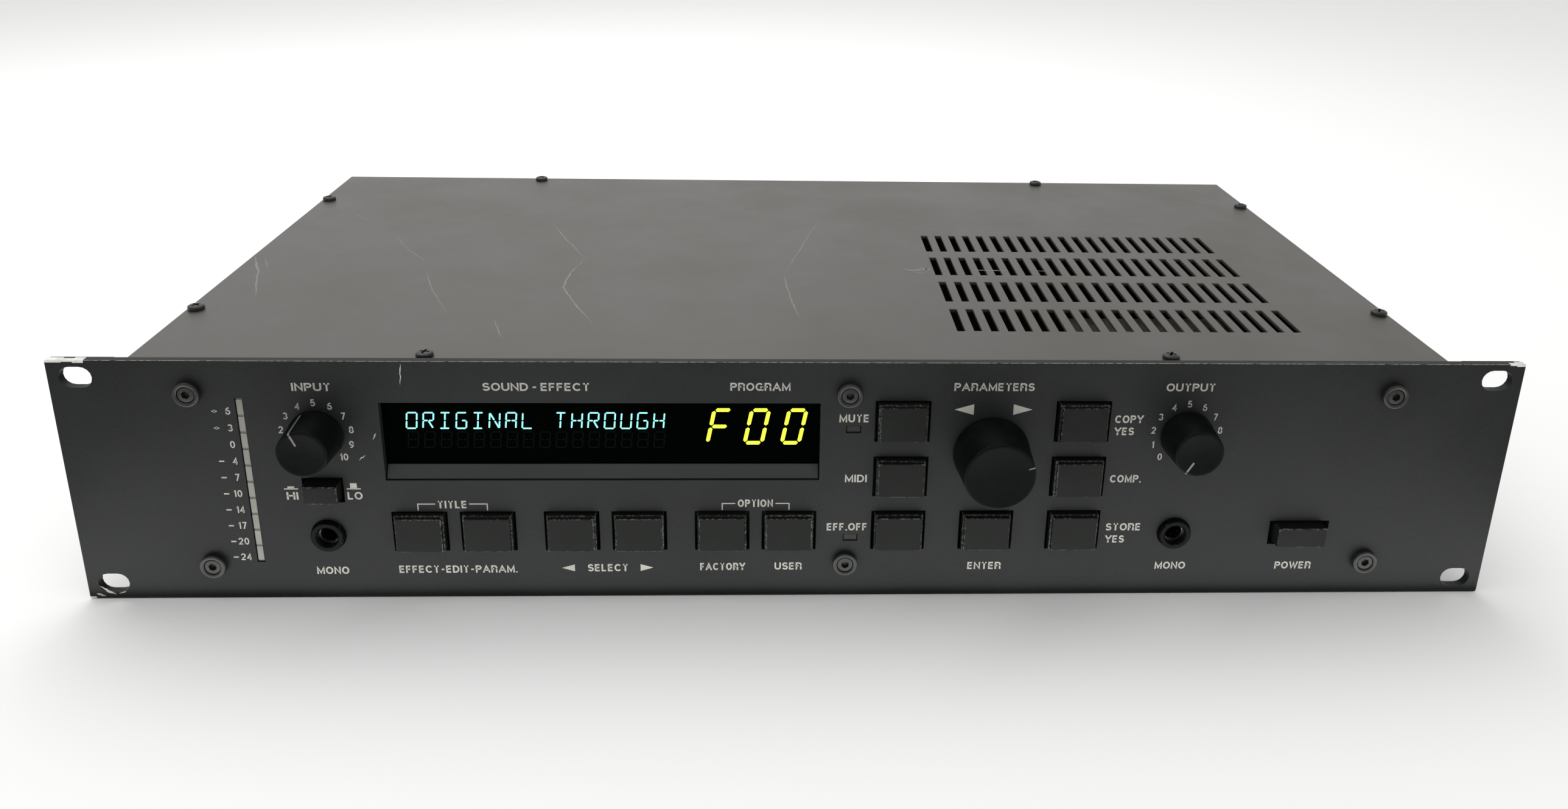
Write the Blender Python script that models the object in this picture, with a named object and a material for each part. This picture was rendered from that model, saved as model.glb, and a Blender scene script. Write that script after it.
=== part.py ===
"""Rack effects unit: a 19-inch, two-unit case with a full front panel of controls.

Drawing coordinates: x runs to the right seen from the front, y runs from the panel's front
face (0) towards the rear, z runs up from the underside. Every object is placed through
`place`, which moves the drawing's y so that the world origin is at the middle of the
underside. All sizes are in metres.
"""
import math

import bmesh
import bpy
from mathutils import Matrix, Vector

# ---------------------------------------------------------------- driving dimensions
clearance = 0.0003            # gap between two touching pieces
unit_height = 0.04445         # one rack unit
rack_units = 2
panel_trim = 0.0008           # the panel is this much lower than its rack units
panel_width = 0.4826
panel_thickness = 0.003
panel_corner = 0.0008
chassis_width = 0.441
chassis_rear = 0.2347         # rear face of the chassis, from the panel's front face
sheet = 0.0015                # thickness of the chassis sheet metal
cover_drop = 0.003            # the top cover lies this far under the panel's top edge

# rack slots, to the 19-inch standard
slot_span_x = 0.4651
slot_span_z = 0.0762
slot_length = 0.0104
slot_height = 0.0073
slot_bottom_z = 0.00595

# keys: one size of cap, set on two rows of pairs and three columns
key_width = 0.0165
key_height = 0.0136
key_proud = 0.0032
key_travel = 0.0012
key_margin_x = 0.0010
key_margin_z = 0.0007
key_shoulder = 0.0005         # the cap's front face is this much smaller all round
key_row_z = 0.0257
key_row_pitch = 0.0206
pair_centre_x = -0.0661       # the middle pair of keys, and the display above it
pair_pitch = 0.0507
pair_half = 0.01135
column_centre_x = 0.0635
column_pitch = 0.0302

# display
display_width = 0.144
display_height = 0.0284
display_z = 0.0592
window_lap = 0.003            # the window is this much larger than its cut-out all round
window_thickness = 0.002
bezel_height = 0.0044
bezel_setback = 0.0005
vfd_size = (0.102, 0.007, 0.022)
vfd_offset_x = -0.0221        # from the display's middle
program_size = (0.039, 0.0078, 0.019)
program_offset_x = 0.051

# knobs and the parts that they turn
dial_x = (-0.1589, 0.1293)    # input level on the left, output level on the right
dial_z = 0.0619
knob_radius = 0.0089
knob_top_radius = 0.0080
knob_proud = 0.0140
dial_knob_z = 0.0557
big_knob_radius = 0.0129
big_knob_top_radius = 0.0115
big_knob_proud = 0.0178
knob_lift = 0.0006
knob_edge = 0.0004
shaft_radius = 0.003
bushing_radius = 0.0036
bushing_proud = 0.0016
pot_radius = 0.0082
shaft_inside = 0.0045         # length of shaft behind the panel

# jacks, meter, lamps and latching switches
jack_z = 0.0244
jack_radius = 0.0055
jack_proud = 0.002
jack_mouth_radius = 0.0040
jack_bore_radius = 0.0033
jack_bore_depth = 0.026
jack_body = (0.015, 0.030, 0.016)
meter_x = -0.1824
meter_z = 0.0445
meter_width = 0.0020
meter_length = 0.0604
meter_body = (0.007, 0.064)
lamp_x = 0.0170
lamp_size = (0.0044, 0.0020)
lamp_z = (0.0228, 0.0639)
front_setback = 0.0004        # meter and lamps lie this far behind the panel's face
range_switch_z = 0.0414
range_cap = (0.0114, 0.0064)
range_opening = (0.0134, 0.0092)
power_x = 0.1732
power_z = 0.0243
power_cap = (0.0170, 0.0074)
power_opening = (0.0208, 0.0092)
latch_proud = 0.0040
latch_travel = 0.003

# front fasteners
panel_screw_x = (-0.198, 0.0154, 0.198)
panel_screw_z = (0.0132, 0.0769)
screw_radius = 0.002
screw_head_radius = 0.0035
screw_washer_radius = 0.0042
screw_head_height = 0.0030
screw_washer_height = 0.0013
screw_hex = 0.003             # across flats
screw_hex_depth = 0.0018

# control board behind the panel, with the key switches and two pillars on it
board_front = 0.014
board_thickness = 0.0016
board_left = -0.188
board_right = 0.160
board_bottom = 0.006
board_top = 0.0815
switch_block = 0.0105
switch_front = 0.009
stem_width = 0.0046
stem_end = 0.0115
cap_rear = 0.006
pillar_radius = 0.0042

# top cover vents
vent_columns = 21
vent_rows = 4
vent_pitch_x = 0.00608
vent_pitch_y = 0.0295
vent_width = 0.0028
vent_length = 0.0214
vent_left = 0.0558            # left edge of the first slot
vent_first_y = 0.0455         # middle of the front row

# side plates
flange_front = 0.031
flange_top = 0.009

# parts inside
main_board_x = (-0.205, 0.085)
main_board_front = 0.040
main_board_rear_gap = 0.0247   # between the board's rear edge and the chassis rear
main_board_z = 0.012
main_leg_radius = 0.003
main_leg_inset = 0.008
transformer_centre = (0.150, 0.100)
core_size = (0.066, 0.036, 0.055)
coil_size = (0.044, 0.054, 0.035)
transformer_foot = 0.008

# rear connectors
rear_jack_x = (-0.060, -0.030, 0.010, 0.040)
rear_jack_z = 0.045
midi_x = (-0.175, -0.140)
midi_z = 0.045
midi_radius = 0.0078
midi_flange = (0.022, 0.020)
midi_depth = 0.012
inlet_x = 0.180
inlet_z = 0.040
inlet_body = (0.0270, 0.0195)
inlet_flange = (0.0310, 0.0240)
inlet_cavity = (0.0240, 0.0165)
inlet_depth = 0.020
inlet_cavity_depth = 0.015
inlet_flange_proud = 0.0025
inlet_pin = (0.0020, 0.0040)
inlet_pin_pitch = 0.007
inlet_pin_setback = 0.005
fuse_x = 0.130
fuse_z = 0.040
fuse_radius = 0.006
fuse_cap_radius = 0.0075
fuse_proud = 0.0053

round_steps = 32
small_steps = 16

# ---------------------------------------------------------------- derived sizes
panel_height = unit_height * rack_units - panel_trim
seat_depth = clearance        # shallow seat on the panel's back that takes the chassis
chassis_front = panel_thickness - seat_depth + clearance
half_chassis = chassis_width / 2
cover_top = panel_height - cover_drop
plate_bottom = sheet + clearance
plate_top = cover_top - sheet - clearance
behind_panel = panel_thickness - seat_depth + clearance * 2
board_gap = board_front - clearance
rear_inner = chassis_rear - sheet
overall_front = -big_knob_proud
overall_rear = chassis_rear + fuse_proud
middle_y = (overall_front + overall_rear) / 2
key_opening = (key_width + 2 * key_margin_x, key_height + 2 * key_margin_z)

colours = {
    "panel_paint": ("2E302F", 0.55, 0.0),
    "case_paint": ("4A4845", 0.55, 0.0),
    "zinc_steel": ("9A9A96", 0.40, 1.0),
    "black_plastic": ("1E201F", 0.45, 0.0),
    "knob_plastic": ("151616", 0.38, 0.0),
    "smoked_acrylic": ("050606", 0.12, 0.0),
    "display_glass": ("0A0D0D", 0.20, 0.0),
    "meter_lens": ("A9A89F", 0.40, 0.0),
    "lamp_lens": ("2B2A28", 0.35, 0.0),
    "black_steel": ("1A1A1A", 0.40, 1.0),
    "circuit_board": ("1F5A35", 0.50, 0.0),
    "core_steel": ("6B655C", 0.50, 1.0),
    "shaft_metal": ("B8B8B4", 0.30, 1.0),
}


# ---------------------------------------------------------------- general helpers
def linear(hex_colour):
    """sRGB hex to the linear colour that a Principled BSDF takes."""
    parts = [int(hex_colour[i:i + 2], 16) / 255 for i in (0, 2, 4)]
    return [c / 12.92 if c <= 0.04045 else ((c + 0.055) / 1.055) ** 2.4 for c in parts] + [1.0]


def material_for(node_name, finish):
    hex_colour, roughness, metallic = colours[finish]
    material = bpy.data.materials.new(node_name + "_" + finish)
    material.use_nodes = True
    shader = material.node_tree.nodes["Principled BSDF"]
    shader.inputs["Base Color"].default_value = linear(hex_colour)
    shader.inputs["Roughness"].default_value = roughness
    shader.inputs["Metallic"].default_value = metallic
    return material


def place(name, mesh_builder, at, finish, smooth=False):
    """One object whose mesh is in drawing coordinates relative to `at`, its own origin."""
    bm = mesh_builder if isinstance(mesh_builder, bmesh.types.BMesh) else mesh_builder()
    bmesh.ops.translate(bm, verts=bm.verts, vec=-Vector(at))
    bmesh.ops.remove_doubles(bm, verts=bm.verts, dist=1e-6)
    bmesh.ops.recalc_face_normals(bm, faces=bm.faces)
    mesh = bpy.data.meshes.new(name)
    bm.to_mesh(mesh)
    bm.free()
    if smooth:
        mesh.shade_smooth()
        mesh.set_sharp_from_angle(angle=math.radians(35))
    obj = bpy.data.objects.new(name, mesh)
    obj.location = (at[0], at[1] - middle_y, at[2])
    bpy.context.collection.objects.link(obj)
    mesh.materials.append(material_for(name, finish))
    return obj


def cut(obj, tool_bm, operation="DIFFERENCE"):
    """Apply one exact boolean to obj. tool_bm is in drawing coordinates."""
    tool = place(obj.name + "_tool", tool_bm, (0, 0, 0), "zinc_steel")
    modifier = obj.modifiers.new("boolean", "BOOLEAN")
    modifier.operation = operation
    modifier.solver = "EXACT"
    modifier.object = tool
    bpy.context.view_layer.update()
    depsgraph = bpy.context.evaluated_depsgraph_get()
    result = bpy.data.meshes.new_from_object(obj.evaluated_get(depsgraph), depsgraph=depsgraph)
    obj.modifiers.remove(modifier)
    result.materials.clear()
    result.materials.append(obj.data.materials[0])
    old = obj.data
    obj.data = result
    bpy.data.meshes.remove(old)
    result.name = obj.name
    bpy.data.objects.remove(tool)
    return obj


def rectangle(x, z, width, height):
    a, b = width / 2, height / 2
    return [(x - a, z - b), (x + a, z - b), (x + a, z + b), (x - a, z + b)]


def circle(x, z, radius, steps=round_steps):
    turns = [2 * math.pi * i / steps for i in range(steps)]
    return [(x + radius * math.cos(t), z + radius * math.sin(t)) for t in turns]


def rounded(x, z, width, height, radius, steps=4):
    """Rectangle with round corners; radius = height / 2 gives a slot."""
    points = []
    corners = [(1, 1), (-1, 1), (-1, -1), (1, -1)]
    for quarter, (sx, sz) in enumerate(corners):
        cx = x + sx * (width / 2 - radius)
        cz = z + sz * (height / 2 - radius)
        for i in range(steps + 1):
            t = math.pi / 2 * (quarter + i / steps)
            points.append((cx + radius * math.cos(t), cz + radius * math.sin(t)))
    return points


def flat_plate(outer, holes, start, end, across="XZ"):
    """Plate with holes. The outlines lie in the XZ or XY plane; it is as thick as start to end."""
    bm = bmesh.new()
    edges = []
    for loop in [outer] + holes:
        verts = []
        for a, b in loop:
            verts.append(bm.verts.new((a, start, b) if across == "XZ" else (a, b, start)))
        for i, vert in enumerate(verts):
            if (vert.co - verts[i - 1].co).length > 1e-9:
                edges.append(bm.edges.new((verts[i - 1], vert)))
    filled = bmesh.ops.triangle_fill(bm, use_beauty=True, use_dissolve=False, edges=edges)
    faces = [g for g in filled["geom"] if isinstance(g, bmesh.types.BMFace)]
    raised = bmesh.ops.extrude_face_region(bm, geom=faces)
    verts = [g for g in raised["geom"] if isinstance(g, bmesh.types.BMVert)]
    step = (0, end - start, 0) if across == "XZ" else (0, 0, end - start)
    bmesh.ops.translate(bm, verts=verts, vec=step)
    return bm


def box(low, high, bm=None):
    bm = bm or bmesh.new()
    size = [high[i] - low[i] for i in range(3)]
    middle = [(high[i] + low[i]) / 2 for i in range(3)]
    matrix = Matrix.Translation(middle) @ Matrix.Diagonal((*size, 1))
    bmesh.ops.create_cube(bm, size=1, matrix=matrix)
    return bm


def block(x, z, width, height, start, end, bm=None):
    """Box given by its middle in the panel's plane, its size there and its depth range."""
    return box((x - width / 2, start, z - height / 2), (x + width / 2, end, z + height / 2), bm)


def turned(x, z, profile, steps=round_steps, upright=False, bm=None):
    """Solid of revolution about an axis along y (or along z). profile: (radius, along) pairs,
    from the axis round to the axis again. x, z (or x, y when upright) place the axis."""
    bm = bm or bmesh.new()
    rings = []
    for radius, along in profile:
        if radius == 0:
            point = (x, z, along) if upright else (x, along, z)
            rings.append([bm.verts.new(point)])
            continue
        ring = []
        for a, b in circle(x, z, radius, steps):
            ring.append(bm.verts.new((a, b, along) if upright else (a, along, b)))
        rings.append(ring)
    for first, second in zip(rings, rings[1:]):
        for i in range(steps):
            j = (i + 1) % steps
            if len(first) == 1:
                bm.faces.new((first[0], second[i], second[j]))
            elif len(second) == 1:
                bm.faces.new((first[j], first[i], second[0]))
            else:
                bm.faces.new((first[j], first[i], second[i], second[j]))
    return bm


# ---------------------------------------------------------------- layout of the controls
def key_places():
    """Name, x and z of each key's middle."""
    places = []
    pairs = (("edit_effect_key", "edit_param_key"), ("select_left_key", "select_right_key"),
             ("factory_key", "user_key"))
    for i, names in enumerate(pairs):
        centre = pair_centre_x + (i - 1) * pair_pitch
        places.append((names[0], centre - pair_half, key_row_z))
        places.append((names[1], centre + pair_half, key_row_z))
    left, right = column_centre_x - column_pitch, column_centre_x + column_pitch
    for i, names in enumerate((("effect_off_key", "store_key"), ("midi_key", "compare_key"),
                               ("mute_key", "copy_key"))):
        z = key_row_z + i * key_row_pitch
        places.append((names[0], left, z))
        places.append((names[1], right, z))
    places.append(("enter_key", column_centre_x, key_row_z))
    return places


def slot_places():
    rows = (slot_bottom_z, slot_bottom_z + slot_span_z)
    return [(side * slot_span_x / 2, z) for side in (-1, 1) for z in rows]


def screw_places():
    return [(x, z) for x in panel_screw_x for z in panel_screw_z]


# ---------------------------------------------------------------- case
def front_panel():
    holes = [rounded(x, z, slot_length, slot_height, slot_height / 2 - 1e-5) for x, z in slot_places()]
    holes.append(rectangle(pair_centre_x, display_z, display_width, display_height))
    holes += [rectangle(x, z, *key_opening) for _, x, z in key_places()]
    holes.append(rectangle(dial_x[0], range_switch_z, *range_opening))
    holes.append(rectangle(power_x, power_z, *power_opening))
    holes.append(rectangle(meter_x, meter_z, meter_width + 2 * clearance, meter_length + 2 * clearance))
    lamp_hole = [side + 2 * clearance for side in lamp_size]
    holes += [rectangle(lamp_x, z, *lamp_hole) for z in lamp_z]
    holes += [circle(x, jack_z, jack_radius + clearance) for x in dial_x]
    holes += [circle(x, dial_z, bushing_radius + clearance, small_steps) for x in dial_x]
    holes.append(circle(column_centre_x, dial_knob_z, bushing_radius + clearance, small_steps))
    holes += [circle(x, z, screw_radius + clearance, 12) for x, z in screw_places()]
    outer = rounded(0, panel_height / 2, panel_width, panel_height, panel_corner)
    panel = place("front_panel", flat_plate(outer, holes, 0, panel_thickness), (0, 0, 0), "panel_paint")
    seat = block(0, panel_height / 2, chassis_width + 2 * clearance, panel_height * 2,
                 panel_thickness - seat_depth, panel_thickness * 2)
    return cut(panel, seat)


def top_cover():
    holes = []
    for row in range(vent_rows):
        for column in range(vent_columns):
            x = vent_left + vent_width / 2 + column * vent_pitch_x
            holes.append(rectangle(x, vent_first_y + row * vent_pitch_y, vent_width, vent_length))
    middle = (chassis_front + chassis_rear) / 2
    outer = rectangle(0, middle, chassis_width, chassis_rear - chassis_front)
    return place("top_cover", flat_plate(outer, holes, cover_top - sheet, cover_top, "XY"),
                 (0, 0, 0), "case_paint")


def bottom_cover():
    cover = box((-half_chassis, chassis_front, 0), (half_chassis, chassis_rear, sheet))
    return place("bottom_cover", cover, (0, 0, 0), "case_paint")


def side_plate(name, side):
    """Sheet side with a flange behind the panel and one under the top cover."""
    rear = rear_inner - clearance
    outer, inner = side * half_chassis, side * (half_chassis - sheet)

    def slab(x_from, x_to, y_from, y_to, z_from, z_to):
        low, high = min(x_from, x_to), max(x_from, x_to)
        return box((low, y_from, z_from), (high, y_to, z_to))

    plate = place(name, slab(outer, inner, chassis_front, rear, plate_bottom, plate_top),
                  (0, 0, 0), "zinc_steel")
    cut(plate, slab(outer, side * (half_chassis - flange_front), chassis_front,
                    chassis_front + sheet, plate_bottom, plate_top), "UNION")
    cut(plate, slab(outer, side * (half_chassis - flange_top), chassis_front,
                    rear, plate_top - sheet, plate_top), "UNION")
    for x, z in screw_places():
        if x * side > board_right:
            hole = turned(x, z, [(0, 0), (screw_radius + clearance, 0),
                                 (screw_radius + clearance, board_front), (0, board_front)], 12)
            cut(plate, hole)
    return plate


def rear_panel():
    holes = [circle(x, rear_jack_z, jack_radius + clearance, small_steps) for x in rear_jack_x]
    holes += [circle(x, midi_z, midi_radius + clearance, small_steps) for x in midi_x]
    holes.append(rectangle(inlet_x, inlet_z, *[side + 2 * clearance for side in inlet_body]))
    holes.append(circle(fuse_x, fuse_z, fuse_radius + clearance, small_steps))
    outer = rectangle(0, (plate_bottom + plate_top) / 2, chassis_width, plate_top - plate_bottom)
    return place("rear_panel", flat_plate(outer, holes, rear_inner, chassis_rear),
                 (0, 0, 0), "case_paint")


# ---------------------------------------------------------------- display
def display():
    start = behind_panel
    place("display_window",
          block(pair_centre_x, display_z, display_width + 2 * window_lap,
                display_height + 2 * window_lap, start, start + window_thickness),
          (0, 0, 0), "smoked_acrylic")
    low = display_z - display_height / 2 + clearance
    back = start - clearance
    half = display_width / 2 - clearance
    section = [(bezel_setback, low), (back, low), (back, low + bezel_height),
               (back - clearance, low + bezel_height)]
    bm = bmesh.new()
    ends = []
    for x in (pair_centre_x - half, pair_centre_x + half):
        ends.append([bm.verts.new((x, y, z)) for y, z in section])
    bm.faces.new(ends[0])
    bm.faces.new(ends[1])
    for i in range(len(section)):
        j = (i + 1) % len(section)
        bm.faces.new((ends[0][i], ends[0][j], ends[1][j], ends[1][i]))
    place("display_bezel", bm, (0, 0, 0), "black_plastic")
    module_front = start + window_thickness + clearance
    for name, size, offset in (("text_display", vfd_size, vfd_offset_x),
                               ("program_display", program_size, program_offset_x)):
        place(name, block(pair_centre_x + offset, display_z + 0.0018, size[0], size[2],
                          module_front, board_gap), (0, 0, 0), "display_glass")


# ---------------------------------------------------------------- controls
def key_cap(x, z):
    front, shoulder = -key_proud, -key_proud / 2
    bm = bmesh.new()
    small = (key_width - 2 * key_shoulder, key_height - 2 * key_shoulder)
    edge = 0.0003
    levels = [(front, small[0] - 2 * edge, small[1] - 2 * edge), (front + edge, *small),
              (shoulder, *small), (shoulder, key_width, key_height), (cap_rear, key_width, key_height),
              (cap_rear, stem_width, stem_width), (stem_end, stem_width, stem_width)]
    return stacked(bm, x, z, levels)


def stacked(bm, x, z, levels):
    """Closed solid through a stack of rectangles: (depth, width, height) from front to rear."""
    rings = []
    for depth, width, height in levels:
        rings.append([bm.verts.new((a, depth, b)) for a, b in rectangle(x, z, width, height)])
    bm.faces.new(rings[0])
    for first, second in zip(rings, rings[1:]):
        for i in range(4):
            j = (i + 1) % 4
            bm.faces.new((first[i], first[j], second[j], second[i]))
    bm.faces.new(rings[-1])
    return bm


def keys():
    for name, x, z in key_places():
        place(name, key_cap(x, z), (x, 0, z), "black_plastic")


def latching_button(name, x, z, cap, rest_stem_end):
    edge = 0.0004
    front = -latch_proud
    rear = switch_front - clearance - latch_travel
    levels = [(front, cap[0] - 2 * edge, cap[1] - 2 * edge), (front + edge, *cap), (rear, *cap),
              (rear, stem_width, stem_width), (rest_stem_end, stem_width, stem_width)]
    place(name, stacked(bmesh.new(), x, z, levels), (x, 0, z), "black_plastic")


def latching_switches():
    """The range switch stands on the control board, the power switch on a frame on the panel."""
    pocket = stem_width + 2 * clearance
    end = board_gap - sheet
    x, z = dial_x[0], range_switch_z
    body = place("range_switch", block(x, z, switch_block, switch_block, switch_front, board_gap),
                 (0, 0, 0), "black_plastic")
    cut(body, block(x, z, pocket, pocket, 0, end))
    latching_button("range_button", x, z, range_cap, end - clearance - latch_travel)

    # the power button is stored pressed in, so its way goes outwards
    x, z = power_x, power_z
    frame_wall = 0.0025
    sleeve = [side + 2 * clearance for side in power_opening]
    outer = [side + 2 * frame_wall for side in sleeve]
    body = place("power_switch", block(x, z, outer[0], outer[1], behind_panel, switch_front + 0.03),
                 (0, 0, 0), "black_plastic")
    cut(body, block(x, z, sleeve[0], sleeve[1], 0, switch_front))
    cut(body, block(x, z, pocket, pocket, 0, switch_front + 0.008))
    latching_button("power_button", x, z, power_cap, switch_front + 0.008 - clearance)


def knob(name, x, z, radius, top_radius, proud):
    """Tapered knob with a blind bore for its shaft and a recess over the bushing."""
    recess = bushing_radius + 0.001
    bore = shaft_radius + clearance
    bore_end = -(proud - 0.0025)
    recess_end = -(bushing_proud + 0.0006)
    profile = [(0, bore_end), (bore, bore_end), (bore, recess_end), (recess, recess_end),
               (recess, -knob_lift), (radius - knob_edge, -knob_lift), (radius, -knob_lift - knob_edge),
               (top_radius, -proud + knob_edge), (top_radius - knob_edge, -proud), (0, -proud)]
    steps = round_steps + small_steps // 2
    place(name, turned(x, z, profile, steps), (x, 0, z), "knob_plastic", smooth=True)


def rotary(control, shaft, x, z, proud):
    """Body on the control board, with its bushing through the panel, and its separate shaft."""
    bore = shaft_radius + clearance
    shaft_rear = behind_panel + shaft_inside
    end = shaft_rear + clearance
    profile = [(0, end), (bore, end), (bore, -bushing_proud), (bushing_radius, -bushing_proud),
               (bushing_radius, behind_panel), (pot_radius, behind_panel), (pot_radius, board_gap),
               (0, board_gap)]
    place(control, turned(x, z, profile, small_steps), (0, 0, 0), "zinc_steel", smooth=True)
    tip = -(proud - 0.0025) + clearance
    rod = [(0, tip), (shaft_radius, tip), (shaft_radius, shaft_rear), (0, shaft_rear)]
    place(shaft, turned(x, z, rod, small_steps), (x, 0, z), "shaft_metal", smooth=True)


def rotary_controls():
    for side, x in zip(("input", "output"), dial_x):
        knob(side + "_knob", x, dial_z, knob_radius, knob_top_radius, knob_proud)
        rotary(side + "_potentiometer", side + "_shaft", x, dial_z, knob_proud)
    knob("parameter_knob", column_centre_x, dial_knob_z, big_knob_radius, big_knob_top_radius,
         big_knob_proud)
    rotary("parameter_encoder", "parameter_shaft", column_centre_x, dial_knob_z, big_knob_proud)


def jack(name, x, z, face, direction, steps=round_steps):
    """Quarter-inch socket. face is the panel surface; direction is +1 where the body lies
    towards +y behind it, -1 where it lies towards -y."""
    inner = panel_thickness + clearance if direction > 0 else sheet + clearance
    start = face + direction * inner
    rear = start + direction * jack_body[1]
    bore_end = face + direction * jack_bore_depth
    mouth = face - direction * jack_proud
    lip = mouth + direction * (jack_mouth_radius - jack_bore_radius)
    chamfer = 0.0004
    body = place(name, block(x, z, jack_body[0], jack_body[2], min(start, rear), max(start, rear)),
                 (0, 0, 0), "black_plastic")
    sleeve_end = start + direction * sheet
    sleeve = [(0, mouth), (jack_radius - chamfer, mouth), (jack_radius, mouth + direction * chamfer),
              (jack_radius, sleeve_end), (0, sleeve_end)]
    cut(body, turned(x, z, sleeve, steps), "UNION")
    beyond = mouth - direction * sheet
    bore = [(0, beyond), (jack_mouth_radius, beyond), (jack_mouth_radius, mouth),
            (jack_bore_radius, lip), (jack_bore_radius, bore_end), (0, bore_end)]
    return cut(body, turned(x, z, bore, steps))


def meter_and_lamps():
    body = place("level_meter", block(meter_x, meter_z, *meter_body, behind_panel, board_gap),
                 (0, 0, 0), "meter_lens")
    cut(body, block(meter_x, meter_z, meter_width, meter_length, front_setback, board_front / 2),
        "UNION")
    for name, z in zip(("effect_off_lamp", "mute_lamp"), lamp_z):
        place(name, block(lamp_x, z, *lamp_size, front_setback, board_gap), (0, 0, 0), "lamp_lens")


def panel_screws():
    names = ("left_bottom", "left_top", "middle_bottom", "middle_top", "right_bottom", "right_top")
    for name, (x, z) in zip(names, screw_places()):
        seat = -clearance
        top, washer = -screw_head_height, -screw_washer_height
        tip = board_front - sheet
        profile = [(0, top), (screw_head_radius - 0.0003, top), (screw_head_radius, top + 0.0003),
                   (screw_head_radius, washer), (screw_washer_radius - 0.0003, washer),
                   (screw_washer_radius, washer + 0.0004), (screw_washer_radius, seat),
                   (screw_radius, seat), (screw_radius, tip), (0, tip)]
        screw = place("panel_screw_" + name, turned(x, z, profile, small_steps), (0, 0, 0), "black_steel",
                      smooth=True)
        corner = screw_hex / 2 / math.cos(math.pi / 6)
        socket = [(0, top - sheet), (corner, top - sheet), (corner, top + screw_hex_depth),
                  (0, top + screw_hex_depth)]
        cut(screw, turned(x, z, socket, 6))


def control_board():
    """Circuit board with a guide for each key's stem and two pillars for the middle screws."""
    width, height = board_right - board_left, board_top - board_bottom
    cutouts = [rectangle(x, jack_z, jack_body[0] + 4 * clearance, jack_body[2] + 4 * clearance)
               for x in dial_x]
    outer = rectangle((board_left + board_right) / 2, (board_bottom + board_top) / 2, width, height)
    rear = board_front + board_thickness
    board = place("control_board", flat_plate(outer, cutouts, board_front, rear),
                  (0, 0, 0), "circuit_board")
    overlap = board_thickness / 2
    blocks, pockets = bmesh.new(), bmesh.new()
    pocket = stem_width + 2 * clearance
    pocket_end = stem_end + key_travel + clearance
    for _, x, z in key_places():
        block(x, z, switch_block, switch_block, switch_front, board_front + overlap, blocks)
        block(x, z, pocket, pocket, 0, pocket_end, pockets)
    for x, z in screw_places():
        if board_left < x < board_right:
            turned(x, z, [(0, behind_panel), (pillar_radius, behind_panel),
                          (pillar_radius, board_front + overlap), (0, board_front + overlap)],
                   small_steps, bm=blocks)
            bore = screw_radius + clearance
            turned(x, z, [(0, 0), (bore, 0), (bore, board_front), (0, board_front)], 12, bm=pockets)
    cut(board, blocks, "UNION")
    return cut(board, pockets)


# ---------------------------------------------------------------- inside
def main_board():
    width = main_board_x[1] - main_board_x[0]
    depth = chassis_rear - main_board_rear_gap - main_board_front
    x, y = sum(main_board_x) / 2, main_board_front + depth / 2
    top = main_board_z + board_thickness
    board = place("main_board", box((x - width / 2, y - depth / 2, main_board_z),
                                    (x + width / 2, y + depth / 2, top)), (0, 0, 0), "circuit_board")
    legs = bmesh.new()
    foot = sheet + clearance
    for sx in (-1, 1):
        for sy in (-1, 1):
            turned(x + sx * (width / 2 - main_leg_inset), y + sy * (depth / 2 - main_leg_inset),
                   [(0, foot), (main_leg_radius, foot), (main_leg_radius, main_board_z + board_thickness / 2),
                    (0, main_board_z + board_thickness / 2)], 12, upright=True, bm=legs)
    return cut(board, legs, "UNION")


def transformer():
    x, y = transformer_centre
    foot = sheet + clearance
    core = box((x - core_size[0] / 2, y - core_size[1] / 2, foot),
               (x + core_size[0] / 2, y + core_size[1] / 2, foot + core_size[2]))
    part = place("mains_transformer", core, (0, 0, 0), "core_steel")
    low = foot + (core_size[2] - coil_size[2]) / 2
    coil = box((x - coil_size[0] / 2, y - coil_size[1] / 2, low),
               (x + coil_size[0] / 2, y + coil_size[1] / 2, low + coil_size[2]))
    cut(part, coil, "UNION")
    feet = box((x - core_size[0] / 2 - transformer_foot, y - core_size[1] / 3, foot),
               (x + core_size[0] / 2 + transformer_foot, y + core_size[1] / 3, foot + 2 * sheet))
    return cut(part, feet, "UNION")


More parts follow.
